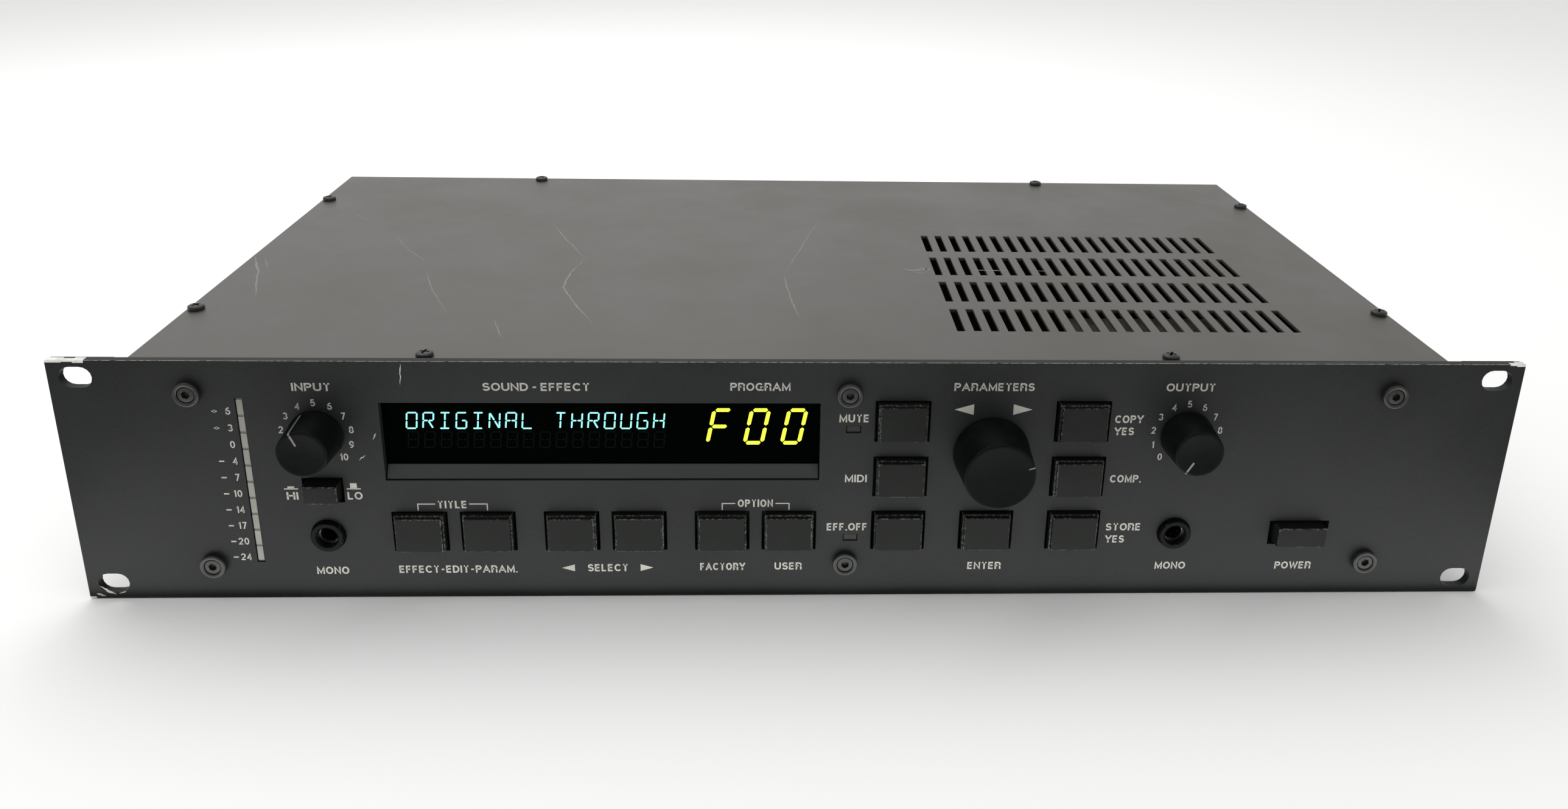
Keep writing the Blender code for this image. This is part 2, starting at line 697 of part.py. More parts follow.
# ---------------------------------------------------------------- rear connectors
def rear_connectors():
    names = ("rear_output_right_jack", "rear_output_left_jack", "rear_input_right_jack",
             "rear_input_left_jack")
    for name, x in zip(names, rear_jack_x):
        jack(name, x, rear_jack_z, chassis_rear, -1, small_steps)
    for name, x in zip(("midi_in_socket", "midi_out_socket"), midi_x):
        body = place(name, block(x, midi_z, *midi_flange, rear_inner - clearance - midi_depth,
                                 rear_inner - clearance), (0, 0, 0), "black_plastic")
        inside = rear_inner - midi_depth / 2
        ring = [(0, inside), (midi_radius, inside), (midi_radius, chassis_rear + clearance),
                (0, chassis_rear + clearance)]
        cut(body, turned(x, midi_z, ring, 24), "UNION")

    mouth = chassis_rear + clearance + inlet_flange_proud
    deep = mouth - inlet_cavity_depth
    body = place("mains_inlet", block(inlet_x, inlet_z, *inlet_flange, chassis_rear + clearance, mouth),
                 (0, 0, 0), "black_plastic")
    cut(body, block(inlet_x, inlet_z, *inlet_body, chassis_rear - inlet_depth,
                    chassis_rear + inlet_flange_proud / 2), "UNION")
    cut(body, block(inlet_x, inlet_z, *inlet_cavity, deep, mouth + sheet))
    pins = bmesh.new()
    for i, lift in ((-1, 0), (0, 1), (1, 0)):
        block(inlet_x + i * inlet_pin_pitch, inlet_z - inlet_pin[1] / 2 + lift * inlet_pin[1],
              *inlet_pin, deep - sheet, mouth - inlet_pin_setback, pins)
    cut(body, pins, "UNION")

    cap = chassis_rear + clearance
    profile = [(0, cap - 0.03), (fuse_radius, cap - 0.03), (fuse_radius, cap), (fuse_cap_radius, cap),
               (fuse_cap_radius, overall_rear - knob_edge), (fuse_cap_radius - knob_edge, overall_rear),
               (0, overall_rear)]
    place("fuse_holder", turned(fuse_x, fuse_z, profile, 24), (0, 0, 0), "black_plastic", smooth=True)


def build():
    for obj in list(bpy.data.objects):
        bpy.data.objects.remove(obj)
    front_panel()
    top_cover()
    bottom_cover()
    side_plate("side_plate_left", -1)
    side_plate("side_plate_right", 1)
    rear_panel()
    display()
    keys()
    latching_switches()
    rotary_controls()
    for name, x in zip(("input_jack", "output_jack"), dial_x):
        jack(name, x, jack_z, 0, 1)
    meter_and_lamps()
    panel_screws()
    control_board()
    main_board()
    transformer()
    rear_connectors()


build()
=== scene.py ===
import math
import random

import bmesh
import bpy
from mathutils import Euler, Matrix, Vector


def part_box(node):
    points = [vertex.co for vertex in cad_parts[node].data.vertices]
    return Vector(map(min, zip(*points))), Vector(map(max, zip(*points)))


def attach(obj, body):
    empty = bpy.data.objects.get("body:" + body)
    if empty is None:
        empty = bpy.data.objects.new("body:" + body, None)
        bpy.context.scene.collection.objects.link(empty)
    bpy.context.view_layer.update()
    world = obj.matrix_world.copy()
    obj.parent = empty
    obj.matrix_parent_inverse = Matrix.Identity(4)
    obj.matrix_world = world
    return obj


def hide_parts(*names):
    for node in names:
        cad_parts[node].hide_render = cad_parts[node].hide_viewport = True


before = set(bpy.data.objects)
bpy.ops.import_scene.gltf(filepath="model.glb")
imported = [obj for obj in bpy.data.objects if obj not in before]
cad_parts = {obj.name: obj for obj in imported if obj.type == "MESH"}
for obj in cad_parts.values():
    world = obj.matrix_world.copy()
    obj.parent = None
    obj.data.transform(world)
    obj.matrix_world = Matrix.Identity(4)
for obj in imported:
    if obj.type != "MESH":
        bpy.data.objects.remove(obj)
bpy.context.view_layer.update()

mm = 0.001
panelLow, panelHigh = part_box("front_panel")
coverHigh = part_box("top_cover")[1]
frontY = panelLow.y  # the panel's front face
panelTop = panelHigh.z
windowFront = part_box("display_window")[0].y
inkThickness = 0.03 * mm
jackZ = 24.4 * mm


def say(text):
    print("stage:", text)


def linked(name, data):
    # a new object in the scene
    obj = bpy.data.objects.new(name, data)
    bpy.context.scene.collection.objects.link(obj)
    return obj


def middle(node):
    # where the middle of a CAD node is, across and up
    low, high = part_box(node)
    return (low.x + high.x) / 2, (low.z + high.z) / 2


# colours, nodes and materials
def linear(hexColour):
    # sRGB hex to the linear values that shader sockets take
    parts = [int(hexColour[i:i + 2], 16) / 255 for i in (0, 2, 4)]
    return [c / 12.92 if c <= 0.04045 else ((c + 0.055) / 1.055) ** 2.4 for c in parts] + [1.0]


def addNode(tree, kind, settings=None, **links):
    # one node: settings are attributes or socket values, links are sockets or values by socket name
    node = tree.nodes.new(kind)
    for key, value in (settings or {}).items():
        if isinstance(key, str) and hasattr(node, key):
            setattr(node, key, value)
        else:
            node.inputs[key].default_value = value
    for key, source in links.items():
        tree.links.new(source, node.inputs[int(key[1:]) if key[0] == "n" and key[1:].isdigit() else key])
    return node


def newMaterial(name):
    material = bpy.data.materials.new(name)
    material.use_nodes = True
    return material, material.node_tree, material.node_tree.nodes["Principled BSDF"]


def surface(name, look):
    # a finish with fine grain, broad mottling and, where the mesh carries a wear value, edges in a lighter
    # colour: rubbed edges, and painted highlights along key edges, knob rims and the panel's top arris
    material, tree, shader = newMaterial(name)
    place = addNode(tree, "ShaderNodeTexCoord").outputs["Object"]
    stretch = look.get("stretch")
    if stretch:
        place = addNode(tree, "ShaderNodeMapping", {"Scale": stretch}, Vector=place).outputs[0]
    grain = addNode(tree, "ShaderNodeTexNoise", {"Scale": 1 / (look["grain"] * mm), "Detail": 3.0},
                    Vector=place).outputs["Fac"]
    patches = addNode(tree, "ShaderNodeTexNoise", {"Scale": 1 / (look["patch"] * mm), "Detail": 5.0,
                                                   "Roughness": 0.6}, Vector=place).outputs["Fac"]
    tone = addNode(tree, "ShaderNodeMath", {"operation": "MULTIPLY_ADD", 1: look["grainTone"], 2: 0.0},
                   n0=grain).outputs[0]
    tone = addNode(tree, "ShaderNodeMath", {"operation": "ADD"}, n0=tone, n1=patches).outputs[0]
    colour = addNode(tree, "ShaderNodeValToRGB", {}, Fac=tone)
    ramp = colour.color_ramp
    middle = 0.5 + look["grainTone"] * 0.5
    ramp.elements[0].position = middle - look["spread"]
    ramp.elements[1].position = middle + look["spread"]
    ramp.elements[0].color = linear(look["dark"])
    ramp.elements[1].color = linear(look["light"])
    colourOut = colour.outputs["Color"]
    shader.inputs["Metallic"].default_value = look.get("metallic", 0.0)
    shader.inputs["Specular IOR Level"].default_value = look.get("specular", 0.5)
    low, high = look["rough"]
    rough = addNode(tree, "ShaderNodeMapRange", {"From Min": 0.35, "From Max": 0.65, "To Min": low,
                                                 "To Max": high}, Value=patches).outputs[0]
    if look.get("wearAndHighlight"):
        rubAndHighlight = addNode(tree, "ShaderNodeAttribute", {"attribute_name": "wearAndHighlight"}).outputs["Fac"]
        chips = addNode(tree, "ShaderNodeTexNoise", {"Scale": 1 / (look["wearSize"] * mm), "Detail": 4.0},
                        Vector=place).outputs["Fac"]
        chips = addNode(tree, "ShaderNodeMath", {"operation": "ADD", 1: -0.5}, n0=chips).outputs[0]
        amount = addNode(tree, "ShaderNodeMath", {"operation": "ADD"}, n0=rubAndHighlight, n1=chips).outputs[0]
        # above this the lighter colour shows: bare where rubbed, and a painted highlight on key edges, knob
        # rims and the panel's top arris
        lighterEdgeMask = addNode(tree, "ShaderNodeMapRange", {"From Min": 0.55, "From Max": 0.75},
                       Value=amount).outputs[0]
        mix = addNode(tree, "ShaderNodeMix", {"data_type": "RGBA"})
        tree.links.new(lighterEdgeMask, mix.inputs[0])
        tree.links.new(colourOut, mix.inputs[6])
        mix.inputs[7].default_value = linear(look["wearAndHighlight"])
        colourOut = mix.outputs[2]
    tree.links.new(colourOut, shader.inputs["Base Color"])
    tree.links.new(rough, shader.inputs["Roughness"])
    bump = addNode(tree, "ShaderNodeBump", {"Strength": look["bump"], "Distance": look["grain"] * mm * 0.3},
                   Height=grain)
    tree.links.new(bump.outputs[0], shader.inputs["Normal"])
    return material


def glowing(name, look):
    # a lit display segment: a phosphor or LED bar, even across its face
    material, tree, shader = newMaterial(name)
    shader.inputs["Base Color"].default_value = linear(look["colour"])
    place = addNode(tree, "ShaderNodeTexCoord").outputs["Object"]
    mesh = addNode(tree, "ShaderNodeTexNoise", {"Scale": 1 / (look["grain"] * mm)}, Vector=place)
    glow = addNode(tree, "ShaderNodeValToRGB", {}, Fac=mesh.outputs["Fac"])
    glow.color_ramp.elements[0].position = 0.3
    glow.color_ramp.elements[0].color = linear(look["dim"])
    glow.color_ramp.elements[1].position = 0.6
    glow.color_ramp.elements[1].color = linear(look["colour"])
    tree.links.new(glow.outputs[0], shader.inputs["Emission Color"])
    shader.inputs["Emission Strength"].default_value = look["strength"]
    return material


looks = {
    # satin powder paint on the aluminium front: fine even grain, edges rubbed to metal; the same bare-metal
    # colour also paints a highlight line along the whole top front arris
    "satinPanelPaint": dict(dark="161817", light="1F2120", spread=0.25, grain=0.35, grainTone=0.7, patch=60,
                            rough=(0.4, 0.5), bump=0.25, specular=0.1, wearAndHighlight="C9C7C0", wearSize=1.5),
    # satin paint on sheet steel: a warmer grey, with handling marks
    "satinCasePaint": dict(dark="302D28", light="3E3B34", spread=0.3, grain=0.4, grainTone=0.4, patch=55,
                           rough=(0.38, 0.5), bump=0.18, specular=0.5, wearAndHighlight="8F8B84", wearSize=2.0),
    # moulded ABS key caps: matt, spark-eroded grain; the lighter edge colour paints a highlight along the key
    # edges
    "mouldedAbs": dict(dark="0E100E", light="151715", spread=0.3, grain=0.25, grainTone=0.6, patch=9,
                       rough=(0.42, 0.5), bump=0.3, specular=0.07, wearAndHighlight="565854", wearSize=0.8),
    # collet knobs in black nylon: smooth with a soft sheen; the lighter edge colour paints a highlight ring
    # on the knob rims
    "knobNylon": dict(dark="070808", light="0C0D0D", spread=0.3, grain=0.2, grainTone=0.5, patch=7,
                      rough=(0.3, 0.4), bump=0.15, specular=0.04, wearAndHighlight="3A3B3B", wearSize=0.8),
    # blackened steel of the hex-socket screws and their cup washers
    "blackenedSteel": dict(dark="232423", light="343533", spread=0.3, grain=0.15, grainTone=0.5, patch=3,
                           rough=(0.28, 0.4), bump=0.2, metallic=0.6, specular=0.3, wearAndHighlight="5E605F",
                           wearSize=0.6),
    # zinc plated sheet: brushed along its length
    "zincPlate": dict(dark="85868A", light="A9A9A6", spread=0.3, grain=0.3, grainTone=0.5, patch=12,
                      rough=(0.3, 0.45), bump=0.15, metallic=1.0, stretch=(1, 0.1, 1)),
    # nickel plated brass of jack contacts and pins
    "nickelPlate": dict(dark="A9A59B", light="C9C5BA", spread=0.3, grain=0.2, grainTone=0.4, patch=2,
                        rough=(0.2, 0.3), bump=0.1, metallic=1.0),
    # smoked acrylic filter: near black, even, glossy
    "smokedAcrylic": dict(dark="010202", light="020303", spread=0.4, grain=0.5, grainTone=0.2, patch=30,
                          rough=(0.16, 0.2), bump=0.02, specular=0.0),
    # satin ABS strip under the window
    "bezelAbs": dict(dark="232524", light="2A2C2B", spread=0.3, grain=0.3, grainTone=0.4, patch=20,
                     rough=(0.5, 0.6), bump=0.15, specular=0.25),
    # milky lens of the level meter segments
    "meterLens": dict(dark="5A5952", light="706F67", spread=0.3, grain=0.4, grainTone=0.4, patch=5,
                      rough=(0.35, 0.45), bump=0.1, specular=0.5),
    # the moulded frame round the meter: the same plastic, duller and darker
    "meterFrame": dict(dark="464640", light="53534C", spread=0.3, grain=0.3, grainTone=0.4, patch=5,
                       rough=(0.5, 0.6), bump=0.1, specular=0.4),
    # dark diffusing epoxy of the two unlit lamps
    "lampEpoxy": dict(dark="191A18", light="20211F", spread=0.3, grain=0.3, grainTone=0.3, patch=3,
                      rough=(0.3, 0.4), bump=0.08, specular=0.15),
    # screen-printed ink: light warm grey, a little uneven
    "printedInk": dict(dark="82817B", light="98978F", spread=0.3, grain=0.12, grainTone=0.6, patch=6,
                       rough=(0.5, 0.6), bump=0.1, specular=0.3),
    # the ink line pressed into a knob, duller than the panel's print
    "pointerInk": dict(dark="5A5A55", light="6E6D67", spread=0.3, grain=0.12, grainTone=0.6, patch=3,
                       rough=(0.5, 0.6), bump=0.1, specular=0.2),
    # phosphor that is not lit, just visible through the filter
    "unlitPhosphor": dict(dark="030605", light="060A09", spread=0.3, grain=0.4, grainTone=0.6, patch=4,
                          rough=(0.5, 0.6), bump=0.02, specular=0.01),
    # glass-fibre laminate with green solder mask
    "boardLaminate": dict(dark="1B4A2C", light="256339", spread=0.25, grain=0.5, grainTone=0.4, patch=6,
                          rough=(0.35, 0.5), bump=0.15, specular=0.5),
    # varnished transformer laminations
    "laminatedSteel": dict(dark="4B453C", light="6F675B", spread=0.25, grain=0.6, grainTone=0.7, patch=10,
                           rough=(0.4, 0.6), bump=0.3, metallic=0.8, stretch=(1, 1, 6)),
    # bare metal where the paint is scraped through
    "scrapedPaint": dict(dark="7C7A75", light="A09E98", spread=0.3, grain=0.5, grainTone=0.8, patch=4,
                         rough=(0.4, 0.5), bump=0.1, metallic=0.0, specular=0.5),
    # aluminium where the paint has gone from an edge
    "bareAluminium": dict(dark="B4B3AE", light="DAD9D4", spread=0.3, grain=0.4, grainTone=0.6, patch=3,
                          rough=(0.35, 0.5), bump=0.2, metallic=1.0),
    # thin rub marks that only lighten the paint
    "rubbedPaint": dict(dark="504F4B", light="6A6964", spread=0.3, grain=0.6, grainTone=0.8, patch=4,
                        rough=(0.4, 0.5), bump=0.1, specular=0.5),
}
finishes = {name: surface(name, look) for name, look in looks.items()}
finishes["vacuumFluorescent"] = glowing("vacuumFluorescent", dict(colour="7FE3DC", dim="52C6BE", grain=0.5,
                                                                  strength=0.75))
finishes["ledBar"] = glowing("ledBar", dict(colour="CFE31E", dim="BBD316", grain=0.6, strength=0.78))
say("materials")


# making and registering pieces
def register(name, mesh, body, finish, replaced=()):
    # a finished piece: object at the origin, one finish, riding on its body
    piece = linked(name, mesh)
    mesh.name = name
    if finish:
        mesh.materials.clear()
        mesh.materials.append(finishes[finish])
    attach(piece, body)
    if replaced:
        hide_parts(*replaced)
    return piece


def meshFrom(bm, name, smoothAngle=None):
    # the bmesh as a mesh; faces that meet at less than smoothAngle are shaded as one surface
    mesh = bpy.data.meshes.new(name)
    bm.to_mesh(mesh)
    bm.free()
    if smoothAngle:
        mesh.shade_smooth()
        mesh.set_sharp_from_angle(angle=math.radians(smoothAngle))
    return mesh


def baked(obj):
    # the evaluated shape of an object, as a plain mesh; the object goes
    bpy.context.view_layer.update()
    graph = bpy.context.evaluated_depsgraph_get()
    mesh = bpy.data.meshes.new_from_object(obj.evaluated_get(graph), depsgraph=graph)
    bpy.data.objects.remove(obj)
    return mesh


def markWear(mesh, strength, seed, alongTop=None):
    # rounded edge faces carry a value for the lighter edge colour: rubbed wear, and on keys a painted
    # highlight; flat faces none. alongTop adds rubbed stretches and a painted highlight line on the top edge
    rng = random.Random(seed)
    wearAndHighlight = mesh.attributes.new("wearAndHighlight", "FLOAT", "FACE")
    for face in mesh.polygons:
        flat = max(abs(c) for c in face.normal) > 0.985
        value = 0.0 if flat else strength * rng.uniform(0.75, 1.0)
        if alongTop:
            value = max(value, alongTop(face.center, face.normal))
        wearAndHighlight.data[face.index].value = value


def refined(node, body, finish, edge, steps=2, wearAndHighlight=0.3, smoothAngle=40, alongTop=None):
    # the CAD shape again, with its doubles merged and its edges rounded as a pressing or moulding has
    bm = bmesh.new()
    bm.from_mesh(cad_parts[node].data)
    bmesh.ops.remove_doubles(bm, verts=bm.verts, dist=1e-6)
    bmesh.ops.dissolve_limit(bm, angle_limit=math.radians(1), verts=bm.verts, edges=bm.edges)
    obj = linked(node, meshFrom(bm, node, smoothAngle))
    bevel = obj.modifiers.new("edge", "BEVEL")
    bevel.width = edge
    bevel.segments = steps
    bevel.limit_method = "ANGLE"
    bevel.angle_limit = math.radians(50)
    bevel.use_clamp_overlap = True
    weighted = obj.modifiers.new("flatFaces", "WEIGHTED_NORMAL")  # keeps large faces flat in the shading
    weighted.weight = 100
    weighted.keep_sharp = True
    mesh = baked(obj)
    markWear(mesh, wearAndHighlight, node, alongTop)
    return register(node + "Body", mesh, body, finish, (node,))


def ring(bm, x, y, radius, along, steps, axis):
    # a circle of vertices round the y axis or the z axis
    turns = [2 * math.pi * i / steps for i in range(steps)]
    if axis == "y":
        return [bm.verts.new((x + radius * math.cos(t), along, y + radius * math.sin(t))) for t in turns]
    return [bm.verts.new((x + radius * math.cos(t), y + radius * math.sin(t), along)) for t in turns]


def turned(x, y, profile, steps=64, axis="y", bm=None):
    # solid of revolution; profile is (radius, along) from the axis round to the axis again
    bm = bm or bmesh.new()
    rings = []
    for radius, along in profile:
        if radius == 0:
            centre = (x, along, y) if axis == "y" else (x, y, along)
            rings.append([bm.verts.new(centre)])
        else:
            rings.append(ring(bm, x, y, radius, along, steps, axis))
    for first, second in zip(rings, rings[1:]):
        for i in range(steps):
            j = (i + 1) % steps
            if len(first) == 1:
                bm.faces.new((first[0], second[i], second[j]))
            elif len(second) == 1:
                bm.faces.new((first[j], first[i], second[0]))
            else:
                bm.faces.new((first[j], first[i], second[i], second[j]))
    bmesh.ops.recalc_face_normals(bm, faces=bm.faces)
    return bm


def hollowTurned(bm, x, z, profile, steps):
    # a closed ring round the y axis; profile is (radius, along) all the way round its section
    rings = [ring(bm, x, z, radius, along, steps, "y") for radius, along in profile]
    for i, first in enumerate(rings):
        second = rings[(i + 1) % len(rings)]
        for k in range(steps):
            j = (k + 1) % steps
            bm.faces.new((first[k], first[j], second[j], second[k]))
    bmesh.ops.recalc_face_normals(bm, faces=bm.faces)
    return bm


def rounding(cornerRadius, cornerAlong, size, turnFrom, steps=4):
    # points of a quarter round for a turned profile
    points = []
    for i in range(steps + 1):
        t = math.radians(turnFrom + 90 * i / steps)
        points.append((cornerRadius + size * math.cos(t), cornerAlong + size * math.sin(t)))
    return points


def slab(bm, low, high):
    # a plain block between two corners
    size = [high[i] - low[i] for i in range(3)]
    centre = [(high[i] + low[i]) / 2 for i in range(3)]
    bmesh.ops.create_cube(bm, size=1, matrix=Matrix.Translation(centre) @ Matrix.Diagonal((*size, 1)))


# repeated pieces: one node tree puts a template on each point
def scatterTree(template, material):
    tree = bpy.data.node_groups.new("placeOnPoints", "GeometryNodeTree")
    face = tree.interface
    face.new_socket("Geometry", in_out="INPUT", socket_type="NodeSocketGeometry")
    size = face.new_socket("Size", in_out="INPUT", socket_type="NodeSocketFloat")
    turn = face.new_socket("Turn", in_out="INPUT", socket_type="NodeSocketVector")
    seed = face.new_socket("Seed", in_out="INPUT", socket_type="NodeSocketInt")
    face.new_socket("Geometry", in_out="OUTPUT", socket_type="NodeSocketGeometry")
    entry = addNode(tree, "NodeGroupInput").outputs
    part = addNode(tree, "GeometryNodeObjectInfo", {"Object": template}).outputs["Geometry"]
    spin = addNode(tree, "FunctionNodeRandomValue", {"data_type": "FLOAT_VECTOR"})
    tree.links.new(entry["Turn"], spin.inputs[1])
    tree.links.new(entry["Seed"], spin.inputs["Seed"])
    placed = addNode(tree, "GeometryNodeInstanceOnPoints", {}, Points=entry["Geometry"], Instance=part,
                     Rotation=spin.outputs[0], Scale=entry["Size"])
    real = addNode(tree, "GeometryNodeRealizeInstances", {}, Geometry=placed.outputs[0])
    done = addNode(tree, "GeometryNodeSetMaterial", {"Material": material}, Geometry=real.outputs[0])
    addNode(tree, "NodeGroupOutput", {}, Geometry=done.outputs[0])
    return tree, size.identifier, turn.identifier, seed.identifier


def scatter(name, templateMesh, places, body, finish, turn=(0, 0, 0), seed=1, wearAndHighlight=0.3,
            replaced=()):
    # copies of one small mesh on a list of places, as one piece; turn is the most that each is turned by
    template = linked(name + "Template", templateMesh)
    points = bpy.data.meshes.new(name)
    points.from_pydata([tuple(p) for p in places], [], [])
    holder = linked(name + "Points", points)
    tree, sizeId, turnId, seedId = scatterTree(template, finishes[finish])
    modifier = holder.modifiers.new("place", "NODES")
    modifier.node_group = tree
    modifier[sizeId] = 1.0
    modifier[turnId] = turn
    modifier[seedId] = seed
    mesh = baked(holder)
    bpy.data.objects.remove(template)
    bpy.data.node_groups.remove(tree)
    mesh.set_sharp_from_angle(angle=math.radians(35))
    markWear(mesh, wearAndHighlight, name)
    return register(name, mesh, body, finish, replaced)


# case
case = dict(panelEdge=0.25 * mm, coverEdge=0.3 * mm, endWear=34 * mm, rightShare=0.35, endWearStrength=0.9,
            cornerX=-236.5 * mm, cornerZ=1.2 * mm, arrisPaintedHighlight=0.71)


def panelTopWear(centre, normal):
    # the ends of the panel's top edge and two of its corners are rubbed bare; the rest of the top front arris
    # gets a painted highlight line
    nearTop = centre.z > panelTop - case["panelEdge"] * 1.5
    fromEnd = panelHigh.x - abs(centre.x)
    if nearTop and fromEnd < case["endWear"] * (1.0 if centre.x < 0 else case["rightShare"]):
        return case["endWearStrength"]
    if centre.z < case["cornerZ"] and centre.x < case["cornerX"]:
        return case["endWearStrength"] * 0.8
    # painted highlight: the whole top front arris takes the light bare-metal colour as a thin light line
    return case["arrisPaintedHighlight"] if nearTop and normal.y < -0.2 and normal.z > 0.2 else 0.0


refined("front_panel", "chassis", "satinPanelPaint", case["panelEdge"], 2, 0.3,
        alongTop=panelTopWear)
refined("top_cover", "chassis", "satinCasePaint", case["coverEdge"], 2, 0.28)
for node in ("bottom_cover", "rear_panel", "side_plate_left", "side_plate_right"):
    refined(node, "chassis", "satinCasePaint", case["coverEdge"], 2, 0.25)
say("case")

# screws of the top cover and the rear
coverScrew = dict(headRadius=2.9 * mm, headHeight=1.9 * mm, crossWidth=0.75 * mm, crossLength=3.4 * mm,
                  crossDepth=1.2 * mm, rimRound=0.7 * mm, sideInset=3.4 * mm,
                  sideBack=(52.5 * mm, 192.7 * mm),
                  endX=125 * mm, frontInset=11 * mm, rearInset=3.7 * mm)
rearScrew = dict(sideInset=12 * mm, sideZ=(10 * mm, 75 * mm), topX=70 * mm, topZ=74 * mm)


def panHead(axisTurn=(0, 0, 0)):
    # a pan head that stands on z = 0 with a cross cut into its crown
    s = coverScrew
    r, h, c = s["headRadius"], s["headHeight"], s["rimRound"]
    profile = [(0, 0), (r, 0), (r, h - c - 0.25 * mm)]
    profile += [(r - c + c * math.cos(t), h - c - 0.25 * mm + c * math.sin(t))
                for t in [math.radians(a) for a in (22, 45, 68)]]
    profile += [(r * 0.45, h - 0.05 * mm), (0, h)]
    head = linked("head", meshFrom(turned(0, 0, profile, 28, "z"), "head"))
    bm = bmesh.new()
    for long, wide in ((s["crossLength"], s["crossWidth"]), (s["crossWidth"], s["crossLength"])):
        lift = 0.01 * mm if long > wide else 0
        slab(bm, (-long / 2, -wide / 2, h - s["crossDepth"] + lift), (long / 2, wide / 2, h + mm + lift))
    cross = linked("cross", meshFrom(bm, "cross"))
    recess = head.modifiers.new("cross", "BOOLEAN")
    recess.object = cross
    recess.use_self = True
    mesh = baked(head)
    bpy.data.objects.remove(cross)
    mesh.transform(Euler([math.radians(a) for a in axisTurn]).to_matrix().to_4x4())
    return mesh


rearY, topZ = coverHigh.y, coverHigh.z
coverPlaces = [(side * (coverHigh.x - coverScrew["sideInset"]), frontY + back, topZ)
               for side in (-1, 1) for back in coverScrew["sideBack"]]
coverPlaces += [(side * coverScrew["endX"], y, topZ) for side in (-1, 1)
                for y in (frontY + coverScrew["frontInset"], rearY - coverScrew["rearInset"])]
scatter("coverScrews", panHead(), coverPlaces, "chassis", "blackenedSteel",
        turn=(0, 0, 6.2), seed=4, wearAndHighlight=0.5)
rearPlaces = [(side * (coverHigh.x - rearScrew["sideInset"]), rearY, z)
              for side in (-1, 1) for z in rearScrew["sideZ"]]
rearPlaces += [(side * rearScrew["topX"], rearY, rearScrew["topZ"]) for side in (-1, 1)]
scatter("rearScrews", panHead((-90, 0, 0)), rearPlaces, "chassis", "blackenedSteel",
        turn=(0, 6.2, 0), seed=7, wearAndHighlight=0.5)
say("screws")

# panel screws: socket head in a raised cup washer
cup = dict(outer=4.3 * mm, inner=2.9 * mm, height=2.3 * mm, lip=0.65 * mm, headRadius=2.75 * mm,
           headRise=1.9 * mm, hexFlats=2.5 * mm, hexDepth=1.5 * mm)


def cupWasher():
    # a raised ring with a rounded lip that the screw sinks into
    c = cup
    profile = [(c["inner"], 0), (c["outer"], 0), (c["outer"], -(c["height"] - c["lip"]))]
    profile += [(r, -a) for r, a in rounding(c["outer"] - c["lip"], c["height"] - c["lip"], c["lip"], 0, 5)]
    profile += [(c["inner"] + 0.25 * mm, -c["height"] + 0.1 * mm), (c["inner"], -c["height"] + 0.35 * mm)]
    return meshFrom(hollowTurned(bmesh.new(), 0, 0, profile, 40), "washer")


def socketHead():
    # a cylinder head with its hexagon socket cut in
    c = cup
    edge = 0.35 * mm
    r, h = c["headRadius"], c["headRise"]
    profile = [(0, 0), (r, 0)] + [(a, -b) for a, b in rounding(r - edge, h - edge, edge, 0, 3)] + [(0, -h)]
    head = linked("socketHead", meshFrom(turned(0, 0, profile, 36), "socketHead"))
    corner = c["hexFlats"] / 2 / math.cos(math.pi / 6)
    tool = [(0, -h - mm), (corner, -h - mm), (corner, -h + c["hexDepth"]), (0, -h + c["hexDepth"])]
    hexTool = linked("hexTool", meshFrom(turned(0, 0, tool, 6), "hexTool"))
    socket = head.modifiers.new("socket", "BOOLEAN")
    socket.object = hexTool
    mesh = baked(head)
    bpy.data.objects.remove(hexTool)
    return mesh


screwNodes = sorted(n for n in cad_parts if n.startswith("panel_screw_"))
screwPlaces = [(x, frontY, z) for x, z in map(middle, screwNodes)]
scatter("cupWashers", cupWasher(), screwPlaces, "chassis", "blackenedSteel", wearAndHighlight=0.35)
scatter("socketScrews", socketHead(), screwPlaces, "chassis", "blackenedSteel",
        turn=(0, 1.0, 0), seed=3, wearAndHighlight=0.45, replaced=screwNodes)
say("panel screws")

# keys and latching buttons
# the high edge values below paint a highlight line, in the lighter edge colour, along the rounded edges of
# keys and buttons
for node in sorted(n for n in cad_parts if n.endswith("_key")):
    refined(node, node, "mouldedAbs", 0.22 * mm, 2, 0.66)
for node in ("range_button", "power_button"):
    refined(node, node, "mouldedAbs", 0.25 * mm, 2, 0.6)
say("keys")


# knobs, turned from the sizes of the CAD knobs
knobShape = dict(crown=0.91, rim=0.55 * mm, bore=3.4 * mm, boreDepth=1.5 * mm, chamfer=0.3 * mm,
                 skirt=1.1 * mm, skirtEnd=1.25 * mm, skirtStep=0.12 * mm, dish=0.05 * mm, rimHighlight=0.42)


